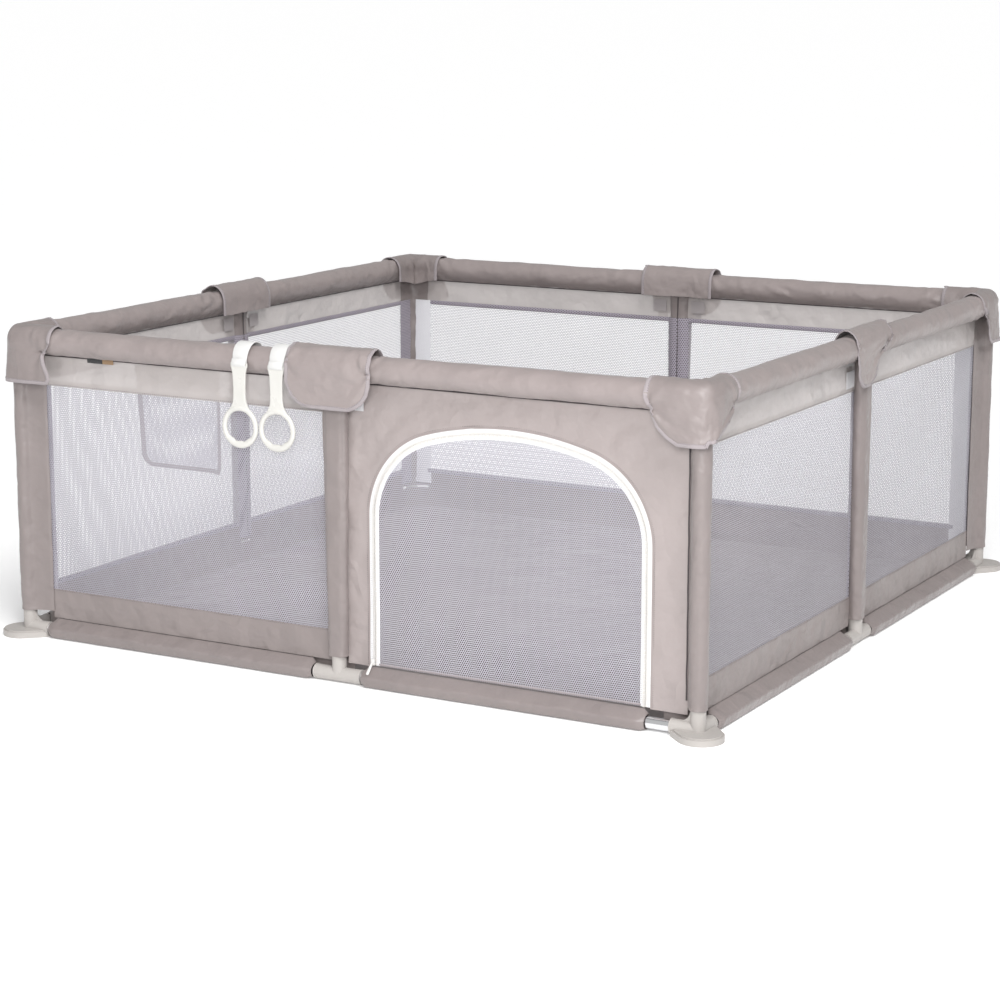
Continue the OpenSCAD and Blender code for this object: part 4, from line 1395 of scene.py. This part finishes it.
def make_slider():
    """The zip's slider: a bevelled block with a bridge over it, in front of the outer tape."""
    lo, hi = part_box("zip_slider")
    bpy.ops.mesh.primitive_cube_add(size=1, location=((lo.x + hi.x) / 2, 0, (lo.z + hi.z) / 2))
    slider = bpy.context.object
    slider.name = "zip_slider_body"
    bpy.ops.object.mode_set(mode="EDIT")
    face_y = -half_d + wall_in - 3.6 * MM
    bpy.ops.transform.resize(value=(hi.x - lo.x, 1.8 * MM, hi.z - lo.z))
    bpy.ops.transform.translate(value=(0, face_y, 0))
    bpy.ops.mesh.bevel(offset=0.7 * MM, segments=3)
    bpy.ops.object.mode_set(mode="OBJECT")
    bpy.ops.mesh.primitive_torus_add(major_radius=2.6 * MM, minor_radius=0.7 * MM, major_segments=24,
                                     minor_segments=8,
                                     location=((lo.x + hi.x) / 2, face_y - 1.4 * MM, 0.045),
                                     rotation=(0, math.pi / 2, 0))
    bridge = bpy.context.object
    slider.select_set(True)
    bridge.select_set(True)
    bpy.context.view_layer.objects.active = slider
    bpy.ops.object.join()
    finish_moulding(slider, ZIP_METAL, "zip_slider")
    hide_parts("zip_slider")


def make_pull():
    """The slider's pull: a flat tab with a rounded end, lying on the sleeve."""
    lo = low("zip_pull")
    hinge = Vector(frame_joint("zip_pull_swing")["pos_m"])
    tip = Vector((hinge.x, lo.y + 1.2 * MM, lo.z + 1.2 * MM))
    length = (tip - hinge).length
    bpy.ops.mesh.primitive_cylinder_add(vertices=24, radius=2.9 * MM, depth=1.7 * MM,
                                        location=(0, -length + 2.4 * MM, 0))
    pull = bpy.context.object
    pull.name = "zip_pull_tab"
    bpy.ops.object.mode_set(mode="EDIT")
    bm = bmesh.from_edit_mesh(pull.data)
    for v in bm.verts:
        if v.co.y > 0:
            v.co.y += length - 4.2 * MM
            v.co.x *= 0.82
    bmesh.update_edit_mesh(pull.data)
    bpy.ops.mesh.select_all(action="SELECT")
    bpy.ops.mesh.bevel(offset=0.3 * MM, segments=2)
    bpy.ops.object.mode_set(mode="OBJECT")
    angle = math.atan2(hinge.z - tip.z, hinge.y - tip.y)
    pull.data.transform(Matrix.Translation(pull.location))
    pull.location = (0, 0, 0)
    pull.data.transform(Matrix.Translation(hinge) @ Matrix.Rotation(angle, 4, "X"))
    finish_moulding(pull, ZIP_METAL, "zip_pull")
    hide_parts("zip_pull")


def frame_joint(name):
    return next(j for j in frame["joints"] if j["name"] == name)


def finish_moulding(obj, material, body, angle=40):
    """Bakes an object's place into its mesh, gives it its material and sets it riding."""
    select_only(obj)
    bpy.ops.object.transform_apply(location=True, rotation=True, scale=True)
    bpy.ops.object.mode_set(mode="EDIT")
    bpy.ops.mesh.select_all(action="SELECT")
    bpy.ops.mesh.remove_doubles(threshold=1e-6)
    bpy.ops.mesh.normals_make_consistent(inside=False)
    bpy.ops.object.mode_set(mode="OBJECT")
    obj.data.materials.clear()
    obj.data.materials.append(material)
    bpy.ops.object.shade_smooth_by_angle(angle=math.radians(angle))
    obj.select_set(False)
    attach(obj, body)


# ---- floor, pocket, label and patches ---------------------------------------------------------

def make_floor_sheet():
    """The floor cloth, flat with a few wrinkles."""
    lo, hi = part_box("floor_sheet")
    count = 90
    rows = []
    for y in np.linspace(lo.y, hi.y, count):
        row = []
        for x in np.linspace(lo.x, hi.x, count):
            edge = min(x - lo.x, hi.x - x, y - lo.y, hi.y - y)
            lift = 2.2 * MM * ripple(x, y, 0, 0.25, 80) + 1.2 * MM * ripple(x, y, 0, 0.08, 81)
            row.append(Vector((x, y, 2.4 * MM + max(0.0, lift + 1.2 * MM) * smooth(edge / 0.1))))
        rows.append(row)
    skin = surface(rows, uv=lambda p: (p.x, p.y))
    size = (hi.x - lo.x, hi.y - lo.y)
    sheet = cloth("floor_cloth", skin, size, "laid", ["studio_floor"], FLOOR_CLOTH, "wall_cloth",
                  thickness=1.2 * MM, offset=0)
    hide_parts("floor_sheet")


def make_floor_border():
    """The strip that joins the floor to the skirts, all round except across the door."""
    lo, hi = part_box("floor_sheet")
    foot, head = 3.2 * MM, sleeve_z - 2 * MM
    loop = []
    for c, (sx, sy) in enumerate(((-1, -1), (1, -1), (1, 1), (-1, 1))):
        turn = 34 * MM
        for k in range(9):
            a = math.pi * (1 + c / 2 + k / 16)
            loop.append((sx * (hi.x - turn) + turn * math.cos(a),
                         sy * (hi.y - turn) + turn * math.sin(a)))
        a, b = (hi.x - turn), (hi.y - turn)
        for k in range(1, 60):
            t = lerp(-1, 1, k / 60)
            loop.append(((t * a, -hi.y), (hi.x, t * b), (-t * a, hi.y), (-hi.x, -t * b))[c])
    clear = 20 * MM
    first = next(i for i, (x, y) in enumerate(loop) if y < -hi.y + 1e-6 and x > door_right + clear)
    last = next(i for i, (x, y) in enumerate(loop) if y < -hi.y + 1e-6 and x > door_left - clear)
    loop = loop[first:] + loop[:last]
    rows = []
    for z in np.linspace(foot, head, 8):
        rows.append([Vector((x, y, z)) * (1 - 1.2 * MM - 1.0 * MM * (1 + ripple(x, y, z, 0.05, 82)))
                     for x, y in loop])
        for p in rows[-1]:
            p.z = z
    border = surface(rows)
    around = 4 * (hi.x - lo.x) - (door_right - door_left)
    cloth("floor_border", border, (around, head - foot), "stretched", ["bottom_skirts", "floor_sheet"],
          SKIRT_CLOTH, "wall_cloth", thickness=0.8 * MM, offset=0)


def make_pocket():
    """A net pocket inside the front wall, with a cloth top and a taped edge."""
    lo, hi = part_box("pocket")
    back = lo.y + 0.4 * MM
    mouth_depth = hi.y - lo.y
    foot_depth = 9 * MM
    width = hi.x - lo.x
    cloth_foot = hi.z - 46 * MM

    def face(x, z):
        """Place of the pocket's inner face: it bellies out towards its mouth."""
        rise = (z - lo.z) / (hi.z - lo.z)
        side = min(x - lo.x, hi.x - x) / width
        belly = lerp(foot_depth, mouth_depth - 1.5 * MM, rise) * smooth(side / 0.16)
        return Vector((x, back + belly, z))

    def outline_x(z):
        """The left edge leans in and its foot is rounded; the right edge is straight."""
        r = 26 * MM
        lift = z - lo.z
        tuck = r - math.sqrt(max(0.0, r * r - max(0.0, r - lift) ** 2))
        left = lo.x + 4 * MM + 10 * MM * (1 - (z - lo.z) / (hi.z - lo.z)) + tuck
        return left, hi.x - 1 * MM - 0.25 * tuck

    def patch(z0, z1, steps):
        rows = []
        for z in np.linspace(z0, z1, steps):
            left, right = outline_x(z)
            rows.append([face(x, z) for x in np.linspace(left, right, 31)])
        return rows

    rows = patch(lo.z + 1 * MM, cloth_foot, 26)
    net = cloth("pocket_net", surface(rows, uv=lambda p: (p.x, p.z)), (width, cloth_foot - lo.z),
                "hung",
                ["top_bands"], NET, "net", outward=-FRONT)
    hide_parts("pocket")
    top_rows = patch(cloth_foot - 2 * MM, hi.z - 1 * MM, 9)
    top = cloth("pocket_top", surface(top_rows, uv=lambda p: (p.x, p.z)),
                (width, hi.z - cloth_foot + 1 * MM), "hung",
                ["top_bands"], WALL_CLOTH, "wall_cloth", thickness=1.2 * MM, offset=0)
    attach(top, "pen")
    whole = rows + top_rows[1:]
    edge = [r[0] for r in reversed(whole)] + rows[0][1:-1] + [r[-1] for r in whole]
    inner = [r[1] for r in reversed(whole)] + rows[1][1:-1] + [r[-2] for r in whole]
    inward, normal = edge_frames(edge, inner, lambda p: -FRONT)
    strips = [tape(edge, inward, normal, 9 * MM, 2.0 * MM)]
    for row, up in ((top_rows[0], 1), (top_rows[-1], -1)):
        strips.append(tape(row, UP * up, -FRONT, 8 * MM, 2.0 * MM))
    piece("pocket_binding", merge(*strips), BINDING, "net")


def make_label():
    """A sewn label on the band: a dark stretch and a tan one, with no lettering."""
    lo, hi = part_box("side_label")
    for name, start, end, material in (
        ("label_dark_part", lo.x, lerp(lo.x, hi.x, 0.6), LABEL_DARK),
        ("label_tan_part", lerp(lo.x, hi.x, 0.6), hi.x, LABEL_TAN),
    ):
        xs = np.linspace(start, end, 12)
        bulge = [math.sin(math.pi * (x - lo.x) / (hi.x - lo.x)) for x in xs]
        path = [Vector((x, lo.y - 0.5 * MM - 1.0 * MM * out, lo.z + 1.5 * MM))
                for x, out in zip(xs, bulge)]
        label = piece(name, tape(path, Vector((0, -0.1, 1)).normalized(), FRONT,
                                 hi.z - lo.z + 1.5 * MM, 0.9 * MM), material, "label")
        if material is LABEL_DARK:
            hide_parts("side_label")


def make_loop_patches():
    """Soft loop tape either side of each middle post: grey inside, and white outside where the
    saddle's flap closes on it."""
    inside, outside = [], []
    for s, direction in bays(with_door=True):
        white = (s, direction) in ((0, 1), (1, -1))
        for strips, out, start, width, foot, tall in (
            (inside, -1, bay_in + 1 * MM, 34 * MM, 38 * MM, 28 * MM),
            (outside if white else inside, 1, bay_in - 2 * MM, (40 if s == 1 else 27) * MM, 52 * MM,
             34 * MM),
        ):
            xs = np.linspace(start, start + width, 6)
            z = seam_z - foot
            path = [on_side(s, direction * x, wall_y(s, direction * x, z) - out * 2.0 * MM, z)
                    for x in xs]
            strips.append(tape(path, UP, outward_of(s) * out, tall, 1.0 * MM))
    patches = piece("loop_patches", merge(*inside), LOOP_TAPE, "hook_loop")
    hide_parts("hook_loop_patches")
    piece("loop_patches_outside", merge(*outside), LOOP_WHITE, "hook_loop")


# ---- pull rings -------------------------------------------------------------------------------

def make_strap(side, body):
    """White webbing folded over the rail, down to the ring's bar."""
    lo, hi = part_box("ring_strap_" + side)
    middle = (lo.x + hi.x) / 2
    bar = Vector(frame_joint("ring_swing_" + side)["pos_m"])
    rise = cover_r + 6.5 * MM
    deep = cover_r + 2.2 * MM
    path = []
    for a in np.linspace(-0.75, math.pi * 0.93, 40):
        path.append(Vector((middle, -half_d + deep * math.cos(a),
                            rail_z + (rise if a > 0 else deep) * math.sin(a))))
    path += [Vector((middle, bar.y + 1.8 * MM, lerp(path[-1].z, bar.z - 4 * MM, t)))
             for t in (0.35, 0.7, 1.0)]
    path += [Vector((middle, bar.y - 0.5 * MM, bar.z - 5.0 * MM)),
             Vector((middle, bar.y - 2.8 * MM, bar.z - 2.5 * MM)),
             Vector((middle, bar.y - 3.0 * MM, bar.z + 3 * MM)),
             Vector((middle, bar.y - 0.4 * MM, bar.z + 10 * MM))]
    rows = []
    tangents = frames_along(path)
    for i, (p, t) in enumerate(zip(path, tangents)):
        n = t.cross(Vector((1, 0, 0))).normalized()
        wide = 18 * MM - 2.4 * MM * smooth((i - 30) / 14)
        ring = []
        for x, h in ((-1, 0.2), (-0.94, 0.5), (0.94, 0.5), (1, 0.2), (1, -0.2), (0.94, -0.5),
                     (-0.94, -0.5), (-1, -0.2)):
            ring.append(p + Vector((x * wide, 0, 0)) + n * h * 1.9 * MM)
        rows.append(ring)
    strap = piece("pull_strap_" + side, surface(rows, closed=True, capped=True), WEBBING, "strap",
                  body=body)
    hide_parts("ring_strap_" + side)


def ring_hoop(outer):
    """The ring itself, round the origin: thicker at its foot, with finger bumps inside."""
    thick_r = 5.2 * MM
    bpy.ops.mesh.primitive_torus_add(major_radius=outer - thick_r, minor_radius=thick_r,
                                     major_segments=96,
                                     minor_segments=20, rotation=(math.pi / 2, 0, 0))
    hoop = bpy.context.object
    bpy.ops.object.transform_apply(rotation=True)
    for v in hoop.data.vertices:
        turn = math.atan2(v.co.x, -v.co.z)
        radius = math.hypot(v.co.x, v.co.z)
        inner_share = smooth((outer - 3 * MM - radius) / (6 * MM))
        thick = 3.4 * MM * math.exp(-((turn / 0.85) ** 4))
        bumps = 1.1 * MM * math.cos(turn * 9) * math.exp(-((turn / 0.9) ** 6))
        radius -= inner_share * (thick + bumps)
        v.co.x, v.co.z = radius * math.sin(turn), -radius * math.cos(turn)
        v.co.y *= 0.82
    return hoop


def ring_neck(stations):
    """A flat neck drawn up through stations of height and half width in millimetres."""
    half_thick = 2.3 * MM
    bpy.ops.mesh.primitive_cube_add(size=1, location=(0, 0, 0))
    neck = bpy.context.object
    bpy.ops.object.mode_set(mode="EDIT")
    bm = bmesh.from_edit_mesh(neck.data)
    for v in bm.verts:
        z, half = stations[0] if v.co.z < 0 else stations[1]
        v.co = Vector((math.copysign(half * MM, v.co.x), math.copysign(half_thick, v.co.y), z))
    bmesh.update_edit_mesh(neck.data)
    bpy.ops.mesh.select_mode(type="FACE")
    for (z_before, _), (z, half) in zip(stations[1:], stations[2:]):
        bpy.ops.mesh.select_all(action="DESELECT")
        bm = bmesh.from_edit_mesh(neck.data)
        bm.normal_update()
        top = next(f for f in bm.faces
                   if f.normal.z > 0.9 and f.calc_center_median().z > z_before - 1e-6)
        top.select = True
        bm.select_flush_mode()
        bmesh.update_edit_mesh(neck.data)
        bpy.ops.mesh.extrude_region_move(TRANSFORM_OT_translate={"value": (0, 0, z - z_before)})
        bm = bmesh.from_edit_mesh(neck.data)
        for v in bm.verts:
            if v.select:
                v.co.x = math.copysign(half * MM, v.co.x)
        bmesh.update_edit_mesh(neck.data)
    bpy.ops.mesh.select_mode(type="VERT")
    bpy.ops.object.mode_set(mode="OBJECT")
    return neck


def ring_eye(bar_z):
    """The two cheeks and the bar that the strap goes round."""
    parts = []
    for x in (-1, 1):
        bpy.ops.mesh.primitive_cube_add(size=1, location=(x * 17.2 * MM, 0, bar_z - 1.5 * MM),
                                        scale=(2.6 * MM, 4.2 * MM, 9 * MM))
        parts.append(bpy.context.object)
    bpy.ops.mesh.primitive_cylinder_add(vertices=24, radius=1.7 * MM, depth=36 * MM,
                                        location=(0, 0, bar_z),
                                        rotation=(0, math.pi / 2, 0))
    return parts + [bpy.context.object]


def make_ring(side):
    """A moulded ring with finger bumps and a flared neck that ends in the bar's eye."""
    lo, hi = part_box("pull_ring_" + side)
    bar = Vector(frame_joint("ring_swing_" + side)["pos_m"])
    middle = Vector(((lo.x + hi.x) / 2, (lo.y + hi.y) / 2, 0))
    outer = (hi.x - lo.x) / 2
    centre_z = lo.z + outer
    up = bar.z - centre_z
    ring = ring_hoop(outer)
    ring.name = "ring_" + side
    neck = ring_neck(((outer - 9.0 * MM, 24), (outer - 1 * MM, 18.5), (outer + 6 * MM, 15.2),
                      (outer + 16 * MM, 13.6), (outer + 34 * MM, 13.4), (up - 18 * MM, 14.6),
                      (up - 9 * MM, 16.8), (up - 4 * MM, 17.4)))
    parts = [neck] + ring_eye(up)
    bpy.ops.object.select_all(action="DESELECT")
    for part in parts + [ring]:
        part.select_set(True)
    bpy.context.view_layer.objects.active = ring
    bpy.ops.object.join()
    bpy.ops.object.transform_apply(location=True, rotation=True, scale=True)
    remesh = ring.modifiers.new("one_moulding", "REMESH")
    remesh.mode = "VOXEL"
    remesh.voxel_size = 0.9 * MM
    soften = ring.modifiers.new("soft_edges", "SMOOTH")
    soften.factor = 0.5
    soften.iterations = 4
    apply_modifiers(ring)
    ring.data.transform(Matrix.Translation((middle.x, middle.y, centre_z)))
    finish_moulding(ring, RING_PLASTIC, "ring_" + side, angle=60)
    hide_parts("pull_ring_" + side)


# ---- frame pieces that keep their own shape ---------------------------------------------------

def dress(prefix, material):
    """Gives a material and smooth shading to each frame node whose name starts with the prefix."""
    for name, node in frame["nodes"].items():
        if name.startswith(prefix):
            node.data.materials.clear()
            node.data.materials.append(material)
            select_only(node)
            bpy.ops.object.shade_smooth_by_angle(angle=math.radians(35))
            node.select_set(False)


def dress_frame():
    bottom_rails = ["bottom_rail_" + side for side in SIDES]
    for prefix in ["corner_post_", "mid_post_", "top_rail_"] + bottom_rails:
        dress(prefix, STEEL)
    for prefix in ("top_corner_", "top_tee_", "foot_", "bottom_tee_"):
        dress(prefix, PLASTIC)
    dress("suction_cups", RUBBER)


set_stage()
dress_frame()
make_rail_covers()
make_seam_shades()
make_walls()
make_mid_sleeves()
make_corner_sleeves()
make_bottom_sleeves()
make_corner_caps()
make_saddles()
make_door_surround()
make_zip()
make_door_net()
make_slider()
make_pull()
make_floor_sheet()
make_floor_border()
make_pocket()
make_label()
make_loop_patches()
make_strap("left", "strap_left")
make_strap("right", "pen")
make_ring("left")
make_ring("right")
